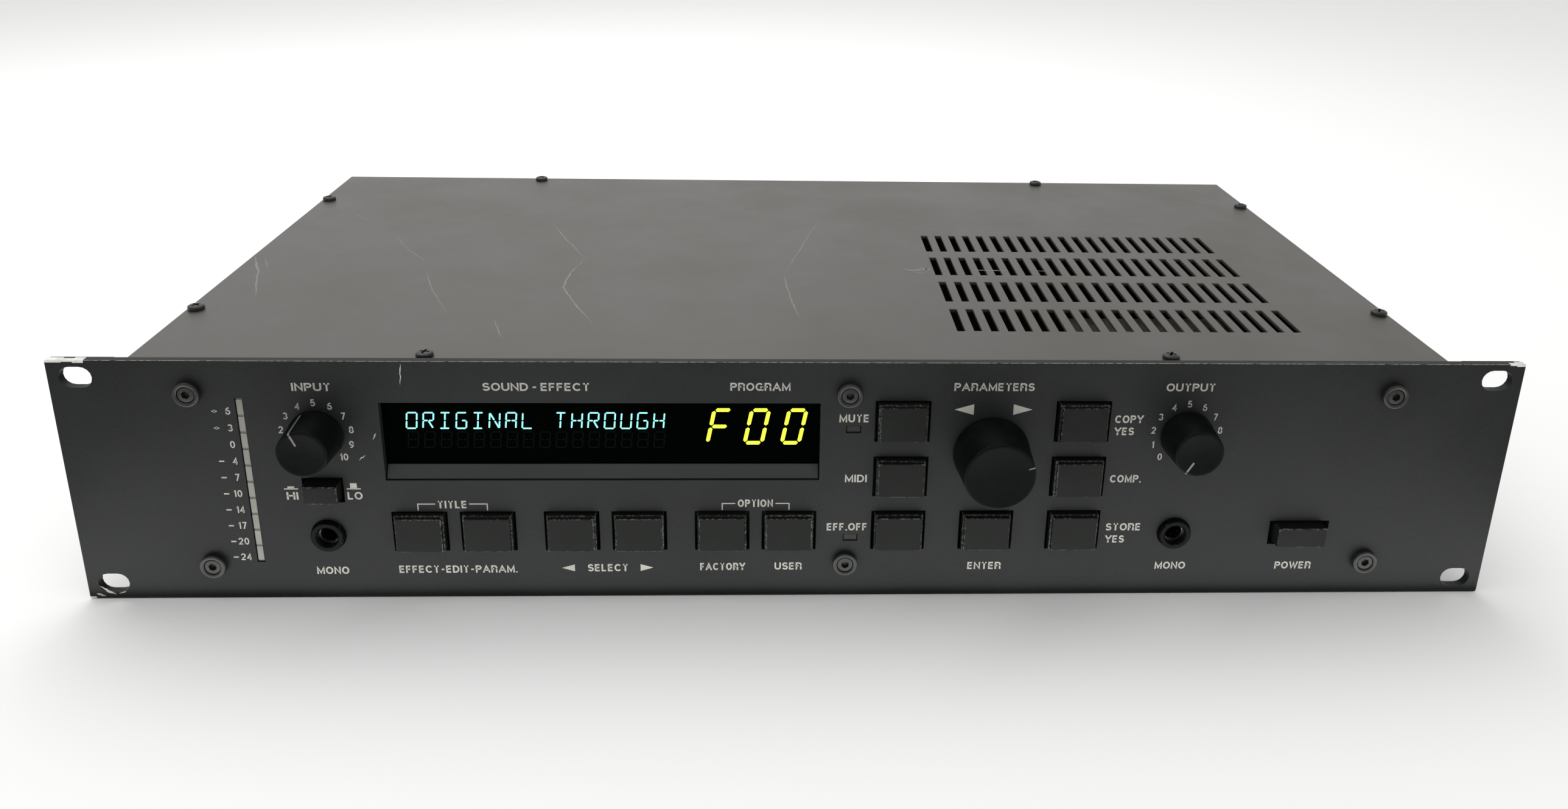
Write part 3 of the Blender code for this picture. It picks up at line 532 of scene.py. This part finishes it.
def knob(node, pointerTurn, pointer):
    s = knobShape
    low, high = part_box(node)
    x, z = middle(node)
    base, top, radius = high.y, low.y, (high.x - low.x) / 2
    crown, edge, dish, back = radius * s["crown"], s["rim"], s["dish"], base - s["boreDepth"]
    # a skirt line near the foot, a slight taper, a soft rim and a shallow dished cap
    profile = [(0, back), (s["bore"], back), (s["bore"], base), (radius - s["chamfer"], base),
               (radius, base - s["chamfer"]), (radius, base - s["skirt"]),
               (radius - s["skirtStep"], base - s["skirtEnd"]), (crown, top + edge)]
    profile += [(crown - edge + edge * math.cos(t), top + edge - edge * math.sin(t))
                for t in [math.radians(a) for a in (25, 50, 75, 90)]]
    profile += [(crown - 1.3 * mm, top), (crown - 1.5 * mm, top + dish), (0, top + dish)]
    mesh = meshFrom(turned(x, z, profile, 96), node, 38)
    # painted highlight: the rounded rim faces take the lighter colour as a light ring round the cap
    mesh.attributes.new("wearAndHighlight", "FLOAT", "FACE")
    for face in mesh.polygons:
        onRim = face.center.y < top + edge and face.normal.y > -0.97
        mesh.attributes["wearAndHighlight"].data[face.index].value = s["rimHighlight"] if onRim else 0.0
    register(node + "Body", mesh, node, "knobNylon", (node,))

    # the pointer: one inked bar over the cap, and one up the tapered side
    bm = bmesh.new()
    half, lift = pointer["width"] / 2, 0.04 * mm
    slab(bm, (-half, top - lift, pointer["inner"] * radius), (half, top + dish + lift, crown - 0.1 * mm))
    if pointer["side"]:
        foot, rim = radius - s["skirtStep"], crown
        outline = [(foot - lift, base - 1.6 * mm), (foot + lift, base - 1.6 * mm), (rim + lift, top + edge),
                   (rim - edge * 0.3 + lift, top + edge * 0.3), (rim - edge, top - lift),
                   (rim - edge * 1.5, top - lift), (rim - edge * 1.5, top + edge)]
        sides = [[bm.verts.new((x0, along, r)) for r, along in outline] for x0 in (-half, half)]
        bm.faces.new(sides[0])
        bm.faces.new(list(reversed(sides[1])))
        for i in range(len(outline)):
            j = (i + 1) % len(outline)
            bm.faces.new((sides[0][i], sides[0][j], sides[1][j], sides[1][i]))
    bmesh.ops.recalc_face_normals(bm, faces=bm.faces)
    mark = meshFrom(bm, node + "Pointer")
    mark.transform(Matrix.Translation((x, 0, z)) @ Matrix.Rotation(math.radians(pointerTurn), 4, "Y"))
    register(node + "Pointer", mark, node, "pointerInk")


# inner is where the pointer starts, as a share of the radius
levelPointer = dict(width=0.65 * mm, side=True, inner=0.38)
knob("input_knob", -24, levelPointer)
knob("output_knob", -150, levelPointer)
knob("parameter_knob", 72, dict(width=0.35 * mm, side=False, inner=0.74))
say("knobs")

# jacks: rounded collar, contacts in the throat
for node in ("input_jack", "output_jack"):
    refined(node, "chassis", "knobNylon", 0.3 * mm, 3, 0.5)
for node in sorted(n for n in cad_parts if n.startswith("rear_") and n.endswith("_jack")):
    refined(node, "chassis", "mouldedAbs", 0.3 * mm, 3, 0.5)

sleeve = dict(outer=3.28 * mm, inner=3.0 * mm, start=0.9 * mm, end=4.0 * mm)
near, far = frontY + sleeve["start"], frontY + sleeve["end"]
section = [(sleeve["inner"], near), (sleeve["outer"], near), (sleeve["outer"], far), (sleeve["inner"], far)]
bm = bmesh.new()
for node in ("input_jack", "output_jack"):
    hollowTurned(bm, middle(node)[0], jackZ, section, 32)
register("jackSleeves", meshFrom(bm, "jackSleeves", 40), "chassis", "nickelPlate")

# level meter
meter = dict(segments=10, width=2.0 * mm, length=60.4 * mm, gap=0.75 * mm, proud=0.15 * mm)
meterX, meterZ = middle("level_meter")
meterTop = meterZ + meter["length"] / 2
pitch = meter["length"] / meter["segments"]
halfWidth, halfLength = meter["width"] / 2, (pitch - meter["gap"]) / 2
bm = bmesh.new()
slab(bm, (-halfWidth, -meter["proud"], -halfLength), (halfWidth, 0.0, halfLength))
bmesh.ops.bevel(bm, geom=list(bm.edges), offset=0.1 * mm, segments=2, affect="EDGES")
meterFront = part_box("level_meter")[0].y
segmentPlaces = [(meterX, meterFront, meterTop - pitch * (i + 0.5)) for i in range(meter["segments"])]
scatter("meterSegments", meshFrom(bm, "segment"), segmentPlaces, "chassis", "meterLens", wearAndHighlight=0)

# display
text = dict(pitch=5.41 * mm, width=3.3 * mm, height=5.7 * mm, stroke=0.5 * mm, slant=0.09,
            firstX=-128.8 * mm, baseZ=62.6 * mm, words="ORIGINAL THROUGH")
digits = dict(pitch=12.45 * mm, width=5.7 * mm, height=12.1 * mm, stroke=1.3 * mm, slant=0.2,
              firstX=-27.6 * mm, baseZ=57.3 * mm, words="F00")
# bars of a starburst character in a cell from 0 to 1: (x, z) to (x, z)
bars = {"a": ((0, 1), (1, 1)), "b": ((1, 1), (1, .5)), "c": ((1, .5), (1, 0)), "d": ((0, 0), (1, 0)),
        "e": ((0, .5), (0, 0)), "f": ((0, 1), (0, .5)), "g": ((0, .5), (.5, .5)), "h": ((.5, .5), (1, .5)),
        "i": ((.5, 1), (.5, .5)), "j": ((.5, .5), (.5, 0)), "k": ((0, 1), (.5, .5)), "m": ((.5, .5), (1, 0)),
        "s": ((0, .5), (1, .5))}
starburst = {"O": "abcdef", "R": "abefghm", "I": "adij", "G": "acdefh", "N": "bcefkm", "A": "abcefgh",
             "L": "def", "T": "aij", "H": "bcefgh", "U": "bcdef", " ": "", "*": "abcdefgh"}
sevenBar = {"F": "aefs", "0": "abcdef"}


def litText(name, look, alphabet, finish):
    # characters of straight bars with pointed ends, leaning to the right
    bm = bmesh.new()
    for index, letter in enumerate(look["words"]):
        centre = look["firstX"] + index * look["pitch"]
        for bar in alphabet[letter]:
            (x0, z0), (x1, z1) = bars[bar]
            a = Vector(((x0 - 0.5) * look["width"], z0 * look["height"]))
            b = Vector(((x1 - 0.5) * look["width"], z1 * look["height"]))
            direction = (b - a).normalized()
            side = Vector((-direction.y, direction.x)) * look["stroke"] / 2
            trim = look["stroke"] * 0.28
            start, end = a + direction * trim, b - direction * trim
            point = look["stroke"] * 0.4
            outline = [start, start + direction * point + side, end - direction * point + side, end,
                       end - direction * point - side, start + direction * point - side]
            front, back = [], []
            for p in outline:
                px = centre + p.x + (p.y - look["height"] / 2) * look["slant"]
                pz = look["baseZ"] + p.y
                front.append(bm.verts.new((px, windowFront - 0.06 * mm, pz)))
                back.append(bm.verts.new((px, windowFront - 0.01 * mm, pz)))
            bm.faces.new(front)
            bm.faces.new(list(reversed(back)))
            for i in range(6):
                j = (i + 1) % 6
                bm.faces.new((front[i], front[j], back[j], back[i]))
    bmesh.ops.recalc_face_normals(bm, faces=bm.faces)
    register(name, meshFrom(bm, name), "chassis", finish)


litText("displayText", text, starburst, "vacuumFluorescent")
unlit = dict(text, baseZ=55.6 * mm, words="*" * len(text["words"]), stroke=0.4 * mm)
litText("displayUnlit", unlit, starburst, "unlitPhosphor")
litText("displayProgram", digits, sevenBar, "ledBar")
refined("display_bezel", "chassis", "bezelAbs", 0.15 * mm, 2, 0.0)
refined("display_window", "chassis", "smokedAcrylic", 0.1 * mm, 1, 0.0)
say("display")

# printed words, figures and signs
def arc(cx, cy, rx, ry, start, end, steps=14):
    # points of an elliptic arc, in degrees, counted anticlockwise from the right
    turns = [math.radians(start + (end - start) * i / steps) for i in range(steps + 1)]
    return [(cx + rx * math.cos(t), cy + ry * math.sin(t)) for t in turns]


# grotesque capitals and figures as centre lines on a unit height: letter -> (width, strokes)
glyphs = {
    "A": (.82, [[(0, 0), (.41, 1), (.82, 0)], [(.14, .3), (.68, .3)]]),
    "C": (.74, [arc(.4, .5, .4, .5, 42, 318)]),
    "D": (.7, [[(0, 0), (0, 1), (.28, 1)] + arc(.28, .5, .42, .5, 80, -80) + [(.28, 0), (0, 0)]]),
    "E": (.56, [[(.56, 1), (0, 1), (0, 0), (.56, 0)], [(0, .52), (.52, .52)]]),
    "F": (.53, [[(.53, 1), (0, 1), (0, 0)], [(0, .5), (.47, .5)]]),
    "G": (.78, [arc(.4, .5, .4, .5, 42, 325) + [(.76, .44), (.46, .44)], [(.76, .44), (.76, 0)]]),
    "H": (.68, [[(0, 0), (0, 1)], [(.68, 0), (.68, 1)], [(0, .52), (.68, .52)]]),
    "I": (0, [[(0, 0), (0, 1)]]),
    "L": (.52, [[(0, 1), (0, 0), (.52, 0)]]),
    "M": (.86, [[(0, 0), (0, 1), (.43, .1), (.86, 1), (.86, 0)]]),
    "N": (.68, [[(0, 0), (0, 1), (.68, 0), (.68, 1)]]),
    "O": (.8, [arc(.4, .5, .4, .5, 0, 360, 24)]),
    "P": (.62, [[(0, 0), (0, 1), (.34, 1)] + arc(.34, .74, .28, .26, 80, -80, 8) + [(.34, .48), (0, .48)]]),
    "R": (.66, [[(0, 0), (0, 1), (.36, 1)] + arc(.36, .75, .28, .25, 80, -80, 8) + [(.36, .5), (0, .5)],
                [(.3, .5), (.42, .5)] + arc(.42, .3, .2, .2, 70, 0, 5) + [(.64, 0)]]),
    "S": (.62, [arc(.31, .75, .28, .25, 20, 265) + arc(.31, .26, .31, .26, 80, -160)]),
    "T": (.64, [[(0, 1), (.64, 1)], [(.32, 0), (.32, 1)]]),
    "U": (.68, [[(0, 1), (0, .34)] + arc(.34, .34, .34, .34, 190, 350) + [(.68, .34), (.68, 1)]]),
    "W": (1.08, [[(0, 1), (.27, 0), (.54, .95), (.81, 0), (1.08, 1)]]),
    "Y": (.74, [[(0, 1), (.37, .44), (.74, 1)], [(.37, .46), (.37, 0)]]),
    "0": (.54, [arc(.27, .5, .27, .5, 0, 360, 20)]),
    "1": (.24, [[(.02, .8), (.24, .86)], [(.24, 0), (.24, 1)]]),
    "2": (.54, [arc(.28, .72, .26, .28, 170, -30) + [(.02, 0), (.56, 0)]]),
    "3": (.54, [arc(.27, .76, .24, .24, 160, -90) + arc(.27, .26, .27, .26, 90, -160)]),
    "4": (.58, [[(.42, 0), (.42, 1), (0, .28), (.6, .28)]]),
    "5": (.54, [[(.5, 1), (.1, 1), (.04, .5)] + arc(.27, .31, .27, .31, 115, -150)]),
    "6": (.54, [arc(.27, .3, .27, .3, 0, 360, 18), arc(.38, .32, .38, .68, 180, 75, 8)]),
    "7": (.52, [[(0, 1), (.52, 1), (.2, 0)]]),
    "8": (.54, [arc(.27, .77, .23, .23, 0, 360, 16), arc(.27, .27, .27, .27, 0, 360, 16)]),
    "9": (.54, [arc(.27, .7, .27, .3, 0, 360, 18), arc(.16, .68, .38, .68, 0, -105, 8)]),
    ".": (0, [[(0, 0), (0, .08)]]), "-": (.38, [[(0, .45), (.38, .45)]]),
    "+": (.5, [[(0, .45), (.5, .45)], [(.25, .2), (.25, .7)]]),
}
lettering = dict(capHeight=2.85 * mm, stem=0.235, figureStem=0.19, letterGap=0.16, wordGap=0.32)
capHeight = lettering["capHeight"]
labels = [
    # words, middle x, middle z, width (mm)
    ("INPUT", -159.0, 79.0, 12.2), ("SOUND - EFFECT", -86.9, 79.2, 34.3), ("PROGRAM", -14.0, 79.4, 19.7),
    ("PARAMETERS", 63.2, 79.5, 26.7), ("OUTPUT", 128.8, 79.5, 16.3),
    ("MONO", -158.9, 10.6, 10.8), ("EFFECT-EDIT-PARAM.", -116.7, 10.9, 39.9), ("SELECT", -66.0, 11.2, 13.5),
    ("FACTORY", -26.6, 11.5, 15.6), ("USER", -4.1, 11.6, 9.4), ("ENTER", 64.0, 11.5, 11.7),
    ("MONO", 129.5, 11.3, 10.8), ("POWER", 173.2, 11.2, 12.9),
    ("TITLE", -117.0, 35.9, 9.3), ("OPTION", -15.5, 36.2, 11.9),
    ("MUTE", 17.0, 68.0, 9.7), ("MIDI", 18.3, 45.6, 7.4), ("EFF.OFF", 15.7, 27.0, 13.6),
    ("COPY", 109.4, 67.8, 9.7), ("YES", 108.0, 63.3, 6.8), ("COMP.", 110.3, 45.4, 10.7),
    ("STORE", 111.3, 26.7, 11.9), ("YES", 108.8, 21.9, 6.8),
    ("HI", -169.2, 39.3, 3.8), ("LO", -148.7, 39.3, 4.9),
]


def thickened(bm, into, name):
    # a flat mesh made into a thin closed one that reaches back to the surface it lies on
    raised = bmesh.ops.extrude_face_region(bm, geom=list(bm.faces))
    back = [g for g in raised["geom"] if isinstance(g, bmesh.types.BMVert)]
    bmesh.ops.translate(bm, verts=back, vec=into)
    bmesh.ops.recalc_face_normals(bm, faces=bm.faces)
    return meshFrom(bm, name)


def ribbon(bm, points, half, scaleX):
    # a flat stroke of even width along its centre line, mitred at the turns
    closed = math.dist(points[0], points[-1]) < 1e-6
    if closed:
        points = points[:-1]
    count = len(points)
    points = [Vector((x * scaleX, y)) for x, y in points]
    for end, other in (() if closed else ((0, 1), (-1, -2))):
        # stems run on to the cap line and the base line
        along = (points[end] - points[other]).normalized()
        if abs(along.y) > 0.5 and min(abs(points[end].y), abs(points[end].y - 1)) < 1e-6:
            points[end] = points[end] + along * half / abs(along.y)
    rows = []
    for i, here in enumerate(points):
        before = points[(i - 1) % count] if closed or i else None
        after = points[(i + 1) % count] if closed or i < count - 1 else None
        into = (here - before).normalized() if before is not None else (after - here).normalized()
        out = (after - here).normalized() if after is not None else into
        across = Vector((-(into + out).y, (into + out).x)).normalized()
        reach = half / max(across.dot(Vector((-into.y, into.x))), 0.5)
        rows.append([bm.verts.new((*(here + across * reach * side), 0)) for side in (1, -1)])
    for i in range(count if closed else count - 1):
        first, second = rows[i], rows[(i + 1) % count]
        bm.faces.new((first[0], first[1], second[1], second[0]))


def word(characters, x, z, height, width=None):
    # one word as a thin flat mesh on the panel, its middle at x, z, drawn to the width that is given
    look = lettering
    stem = look["figureStem" if characters[0].isdigit() else "stem"]
    letters = [glyphs[c] for c in characters if c != " "]
    gaps = sum((look["letterGap"] + stem) if c != " " else look["wordGap"] for c in characters[1:])
    natural = sum(g[0] for g in letters) + gaps + stem
    unit = height / (1 + stem)
    scaleX = (width / unit - stem - gaps) / (natural - stem - gaps) if width else 1.0
    spacing = min(max(scaleX, 0.8), 1.2)
    bm = bmesh.new()
    cursor = 0.0
    for i, c in enumerate(characters):
        if c == " ":
            cursor += look["wordGap"]
            continue
        glyphWidth, strokes = glyphs[c]
        if i:
            cursor += look["letterGap"] + stem
        for stroke in strokes:
            start = len(bm.verts)
            ribbon(bm, stroke, stem / 2, spacing)
            bm.verts.ensure_lookup_table()
            for v in bm.verts[start:]:
                v.co.x += cursor
        cursor += glyphWidth * spacing
    lowest, highest = min(v.co.x for v in bm.verts), max(v.co.x for v in bm.verts)
    fit = width / unit / (highest - lowest) if width else 1.0
    mesh = thickened(bm, (0, 0, -inkThickness / unit), "word")
    mesh.transform(Matrix.Translation((-(lowest + highest) / 2, -0.5, 0)))
    mesh.transform(Matrix.Diagonal((fit * unit, unit, unit, 1)))
    mesh.transform(Matrix.Translation((x, frontY - inkThickness, z)) @ Matrix.Rotation(math.pi / 2, 4, "X"))
    return mesh


def joined(meshes, name):
    # several meshes as one
    bm = bmesh.new()
    for mesh in meshes:
        bm.from_mesh(mesh)
        bpy.data.meshes.remove(mesh)
    return meshFrom(bm, name)


def printed(name, meshes):
    return register(name, joined(meshes, name), "chassis", "printedInk")


printed("panelWords", [word(w, x * mm, z * mm, capHeight, width * mm) for w, x, z, width in labels])

rearLabels = [
    ("MIDI IN", -175, 57.5, 14), ("MIDI OUT", -140, 57.5, 16.5),
    ("R", -60, 57.5, None), ("OUTPUT", -45, 62, 16), ("L", -30, 57.5, None),
    ("R", 10, 57.5, None), ("INPUT", 25, 62, 12), ("L", 40, 57.5, None),
    ("FUSE", 130, 53, 9.5), ("MAINS", 180, 57.5, 13),
]
rearMeshes = []
for words, x, z, width in rearLabels:
    # drawn in front, then turned round to face the rear
    mesh = word(words, -x * mm, z * mm, capHeight, width * mm if width else None)
    mesh.transform(Matrix.Translation((0, rearY + frontY, 0)) @ Matrix.Rotation(math.pi, 4, "Z"))
    rearMeshes.append(mesh)
register("rearWords", joined(rearMeshes, "rearWords"), "chassis", "printedInk")

dial = dict(radius=11.5 * mm, step=27.0, figure=2.5 * mm)
for node in ("input_knob", "output_knob"):
    x, z = middle(node)
    figures = []
    for value in range(11):
        turn = math.radians((value - 5) * dial["step"])
        figures.append(word(str(value), x + dial["radius"] * math.sin(turn),
                            z + dial["radius"] * math.cos(turn), dial["figure"]))
    printed(node + "Scale", figures)

meterScale = dict(values=(6, 3, 0, -4, -7, -10, -14, -17, -20, -24), figure=2.6 * mm, fromBar=3.1 * mm,
                  signFromBar=8.2 * mm, drop=4.3 * mm)
marks = []
for i, value in enumerate(meterScale["values"]):
    z = meterTop - meterScale["drop"] - i * pitch
    mesh = word(str(abs(value)), 0, z, meterScale["figure"])
    right = max(v.co.x for v in mesh.vertices)
    mesh.transform(Matrix.Translation((meterX - meterScale["fromBar"] - right, 0, 0)))
    marks.append(mesh)
    if value:
        marks.append(word("+" if value > 0 else "-", meterX - meterScale["signFromBar"], z,
                          meterScale["figure"] * (0.85 if value > 0 else 1.0), 1.7 * mm))
printed("meterScale", marks)


def flatSign(outline):
    # a flat printed shape; outline is a list of (x, z) in mm
    bm = bmesh.new()
    bm.faces.new([bm.verts.new((x * mm, frontY - inkThickness, z * mm)) for x, z in outline])
    return thickened(bm, (0, inkThickness * 0.9, 0), "sign")


def bar(x0, z0, x1, z1, width=0.4):
    # a level or an upright line
    half = width / 2
    if abs(x1 - x0) > abs(z1 - z0):
        return flatSign([(x0, z0 - half), (x1, z0 - half), (x1, z0 + half), (x0, z0 + half)])
    return flatSign([(x0 - half, z0), (x0 + half, z0), (x0 + half, z1), (x0 - half, z1)])


def arrow(tip, base, z, half):
    # a triangle that points left or right
    return flatSign([(tip, z), (base, z - half), (base, z + half)])


signs = [arrow(50.3, 56.8, 71.3, 1.95), arrow(76.4, 70.0, 71.3, 1.95),
         arrow(-81.6, -77.2, 11.2, 1.35), arrow(-50.4, -54.8, 11.2, 1.35)]
for left, right, wordLeft, wordRight in ((-128.4, -105.4, -122.6, -111.4), (-26.7, -4.1, -22.3, -8.7)):
    signs += [bar(left - 0.2, 36.1, wordLeft, 36.1), bar(wordRight, 36.1, right + 0.2, 36.1),
              bar(left, 33.6, left, 35.9), bar(right, 33.6, right, 35.9)]
for x, rise in ((-169.4, 0.75), (-148.9, 1.9)):
    signs.append(bar(x - 2.3, 41.9, x + 2.3, 41.9))
    signs.append(flatSign([(x - 1.1, 42.2), (x + 1.1, 42.2), (x + 1.1, 42.1 + rise), (x - 1.1, 42.1 + rise)]))
printed("panelSigns", signs)
say("print")

# scratches on the cover and panel
def scratch(points, width, seed, onPanel=False):
    # a thin ribbon through the listed points, with a slight waver; it tapers at both ends
    rng = random.Random(seed)
    path = []
    for (x0, y0), (x1, y1) in zip(points, points[1:]):
        for k in range(8):
            t = k / 8
            path.append((x0 + (x1 - x0) * t + rng.uniform(-0.25, 0.25),
                         y0 + (y1 - y0) * t + rng.uniform(-0.25, 0.25)))
    path.append(points[-1])
    bm = bmesh.new()
    rows = []
    for i, (x, y) in enumerate(path):
        before, after = path[max(i - 1, 0)], path[min(i + 1, len(path) - 1)]
        d = Vector((after[0] - before[0], after[1] - before[1])).normalized()
        fromEnd = min(i, len(path) - 1 - i) / len(path)
        half = width / 2 * min(1.0, 0.15 + 3.0 * fromEnd) * rng.uniform(0.5, 1.0)
        rows.append([(x + d.y * half * s, y - d.x * half * s) for s in (-1, 1)])
    verts = []
    for pair in rows:
        if onPanel:
            verts.append([bm.verts.new((x * mm, frontY - 0.015 * mm, y * mm)) for x, y in pair])
        else:
            verts.append([bm.verts.new((x * mm, frontY + y * mm, topZ + 0.015 * mm)) for x, y in pair])
    for first, second in zip(verts, verts[1:]):
        bm.faces.new((first[0], first[1], second[1], second[0]))
    return thickened(bm, (0, 0.012 * mm, 0) if onPanel else (0, 0, -0.012 * mm), "scratch")


# points in mm: x, and the distance behind the panel's face; then the width
coverScratches = [
    ([(-219.4, 111.0), (-211.6, 94.1), (-201.3, 65.6)], 1.0), ([(-214, 108), (-208.5, 96)], 0.5),
    ([(-106.5, 156.3), (-98.1, 136.3), (-86.5, 110.7)], 0.6),
    ([(-86.5, 110.7), (-89.6, 93.5), (-90.2, 77.4), (-82.1, 57.6), (-73.5, 40.1)], 0.85),
    ([(12.4, 170.2), (2.7, 127.9), (-5.2, 93.1)], 0.45), ([(-5.2, 93.1), (-3.1, 66.8), (-0.1, 46.9)], 0.7),
    ([(-171.3, 140.1), (-161.1, 121.2), (-148.7, 104.6)], 0.4), ([(-199.0, 171.8), (-189.1, 160.1)], 0.4),
    ([(-146.8, 95.2), (-138.4, 73.2), (-127.2, 49.2)], 0.45), ([(-109.2, 43.4), (-102.9, 26.2)], 0.5),
    ([(42.7, 100.6), (47.3, 98.8), (55.5, 101.5)], 1.4), ([(47, 97), (52, 95.5)], 0.8),
    ([(50, 103), (55, 99)], 1.2), ([(71.3, 99.6), (86.2, 98.9)], 0.8), ([(96, 99.2), (104, 98.8)], 0.5),
]
# x and z in mm
panelScratches = [([(-129.5, 87.5), (-130.4, 79.9)], 0.45), ([(-139.6, 62.4), (-141.0, 60.2)], 0.4),
                  ([(-143.9, 54.4), (-146.1, 52.6)], 0.35), ([(-237.5, 4.6), (-232.5, 1.4)], 1.0),
                  ([(-239.0, 1.6), (-236.0, 0.9)], 1.0), ([(-231.5, 1.6), (-229.0, 2.6)], 0.5)]
scrapes = [scratch(points, width, 11 + i) for i, (points, width) in enumerate(coverScratches)]
register("coverScrapes", joined(scrapes, "coverScrapes"), "chassis", "rubbedPaint")
scrapes = [scratch(points, width, 31 + i, True) for i, (points, width) in enumerate(panelScratches)]
register("panelScrapes", joined(scrapes, "panelScrapes"), "chassis", "scrapedPaint")
# edges knocked bare: x from and to, how far down the front, how far back over the edge (mm)
chips = [(-241.2, -236.1, 0.75, 2.4), (-236.1, -232.6, 0.5, 1.8), (-232.6, -229.2, 0.85, 2.5),
         (236.0, 238.3, 0.45, 1.4), (238.3, 241.2, 0.8, 2.5)]
bm = bmesh.new()
for x0, x1, down, over in chips:
    slab(bm, (x0 * mm, frontY - 0.02 * mm, panelTop - down * mm),
         (x1 * mm, frontY + over * mm, panelTop + 0.02 * mm))
slab(bm, (-241.2 * mm, frontY - 0.02 * mm, 0.02 * mm), (-239.1 * mm, frontY + 0.6 * mm, 0.7 * mm))
register("bareEdges", meshFrom(bm, "bareEdges"), "chassis", "bareAluminium")
say("scratches")

# CAD nodes that keep their shape get their finish
kept = {
    "level_meter": "meterFrame", "effect_off_lamp": "lampEpoxy", "mute_lamp": "lampEpoxy",
    "text_display": "smokedAcrylic", "program_display": "smokedAcrylic", "control_board": "boardLaminate",
    "main_board": "boardLaminate", "mains_transformer": "laminatedSteel", "input_potentiometer": "zincPlate",
    "output_potentiometer": "zincPlate", "parameter_encoder": "zincPlate", "input_shaft": "nickelPlate",
    "output_shaft": "nickelPlate", "parameter_shaft": "nickelPlate", "range_switch": "mouldedAbs",
    "power_switch": "mouldedAbs",
}
for node, finish in kept.items():
    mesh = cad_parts[node].data
    mesh.materials.clear()
    mesh.materials.append(finishes[finish])
# the five holes of each DIN socket, as painted shade: near-black discs on its face where the holes are
dinSocket = dict(pinCircle=3.75 * mm, hole=0.85 * mm, turns=(-90, -45, 0, 45, 90))
shadeDiscPlaces = []
for node in ("midi_in_socket", "midi_out_socket"):
    x, z = middle(node)
    shadeDiscPlaces += [(x + dinSocket["pinCircle"] * math.sin(math.radians(t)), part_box(node)[1].y,
               z + dinSocket["pinCircle"] * math.cos(math.radians(t))) for t in dinSocket["turns"]]
shadeDisc = turned(0, 0, [(0, 0.03 * mm), (dinSocket["hole"], 0.03 * mm), (dinSocket["hole"], -0.1 * mm),
                     (0, -0.1 * mm)], 16)
scatter("dinHoles", meshFrom(shadeDisc, "dinHole"), shadeDiscPlaces, "chassis", "smokedAcrylic", wearAndHighlight=0)
for node in ("mains_inlet", "fuse_holder", "midi_in_socket", "midi_out_socket"):
    refined(node, "chassis", "mouldedAbs", 0.3 * mm, 2, 0.3)
say("kept nodes")

# floor, light and camera
stage = dict(size=12.0, floor="F6F6F5", world=0.78, key=9.4, fill=0.6, card=0.45)
bm = bmesh.new()
bmesh.ops.create_grid(bm, x_segments=1, y_segments=1, size=stage["size"])
floorMesh = meshFrom(bm, "floor")
floorMesh.transform(Matrix.Translation((0, 0, -0.2 * mm)))
floor = linked("floor", floorMesh)
floorMaterial, tree, shader = newMaterial("paleFloor")
shader.inputs["Base Color"].default_value = linear(stage["floor"])
shader.inputs["Roughness"].default_value = 0.9
shader.inputs["Specular IOR Level"].default_value = 0.1
floorMesh.materials.append(floorMaterial)

world = bpy.data.worlds.new("studio")
bpy.context.scene.world = world
world.use_nodes = True
tree = world.node_tree
background = tree.nodes["Background"]
background.inputs["Color"].default_value = (1, 1, 1, 1)
rays = addNode(tree, "ShaderNodeLightPath").outputs
seen = addNode(tree, "ShaderNodeMath", {"operation": "MAXIMUM"}, n0=rays["Is Camera Ray"],
               n1=rays["Is Glossy Ray"]).outputs[0]
seen = addNode(tree, "ShaderNodeMath", {"operation": "MAXIMUM"}, n0=seen,
               n1=rays["Is Transmission Ray"]).outputs[0]
level = addNode(tree, "ShaderNodeMapRange", {"To Min": stage["world"], "To Max": 1.0}, Value=seen).outputs[0]
tree.links.new(level, background.inputs["Strength"])


def softLamp(name, place, aim, size, power):
    lamp = bpy.data.lights.new(name, "AREA")
    lamp.shape = "RECTANGLE"
    lamp.size, lamp.size_y = size
    lamp.energy = power
    obj = linked(name, lamp)
    obj.location = place
    obj.rotation_euler = (Vector(aim) - Vector(place)).to_track_quat("-Z", "Y").to_euler()


softLamp("keyLamp", (-0.35, 0.45, 1.1), (0, 0, 0), (1.5, 1.1), stage["key"])
softLamp("fillLamp", (0.4, -1.4, 0.9), (0, 0, 0.03), (1.4, 0.9), stage["fill"])

# a white card that lies in front of the unit throws light up on the lower half of the panel
cardY = frontY - 0.053
softLamp("bounceCard", (0, cardY, 1.0 * mm), (0, cardY, 1), (0.56, 0.10), stage["card"])

# seen from close by, a little left of the middle, looking down on the cover
view = dict(place=(-0.0131, frontY - 0.3621, 0.2485), turn=(71.48, -1.13, -2.13), lens=27.83,
            shiftX=-0.0195, shiftY=-0.0992)
camera = bpy.data.cameras.new("camera")
camera.sensor_width = 36
camera.lens = view["lens"]
camera.shift_x = view["shiftX"]
camera.shift_y = view["shiftY"]
cameraObject = linked("camera", camera)
cameraObject.location = view["place"]
cameraObject.rotation_euler = [math.radians(a) for a in view["turn"]]
bpy.context.scene.camera = cameraObject
bpy.context.scene.view_settings.view_transform = "Standard"
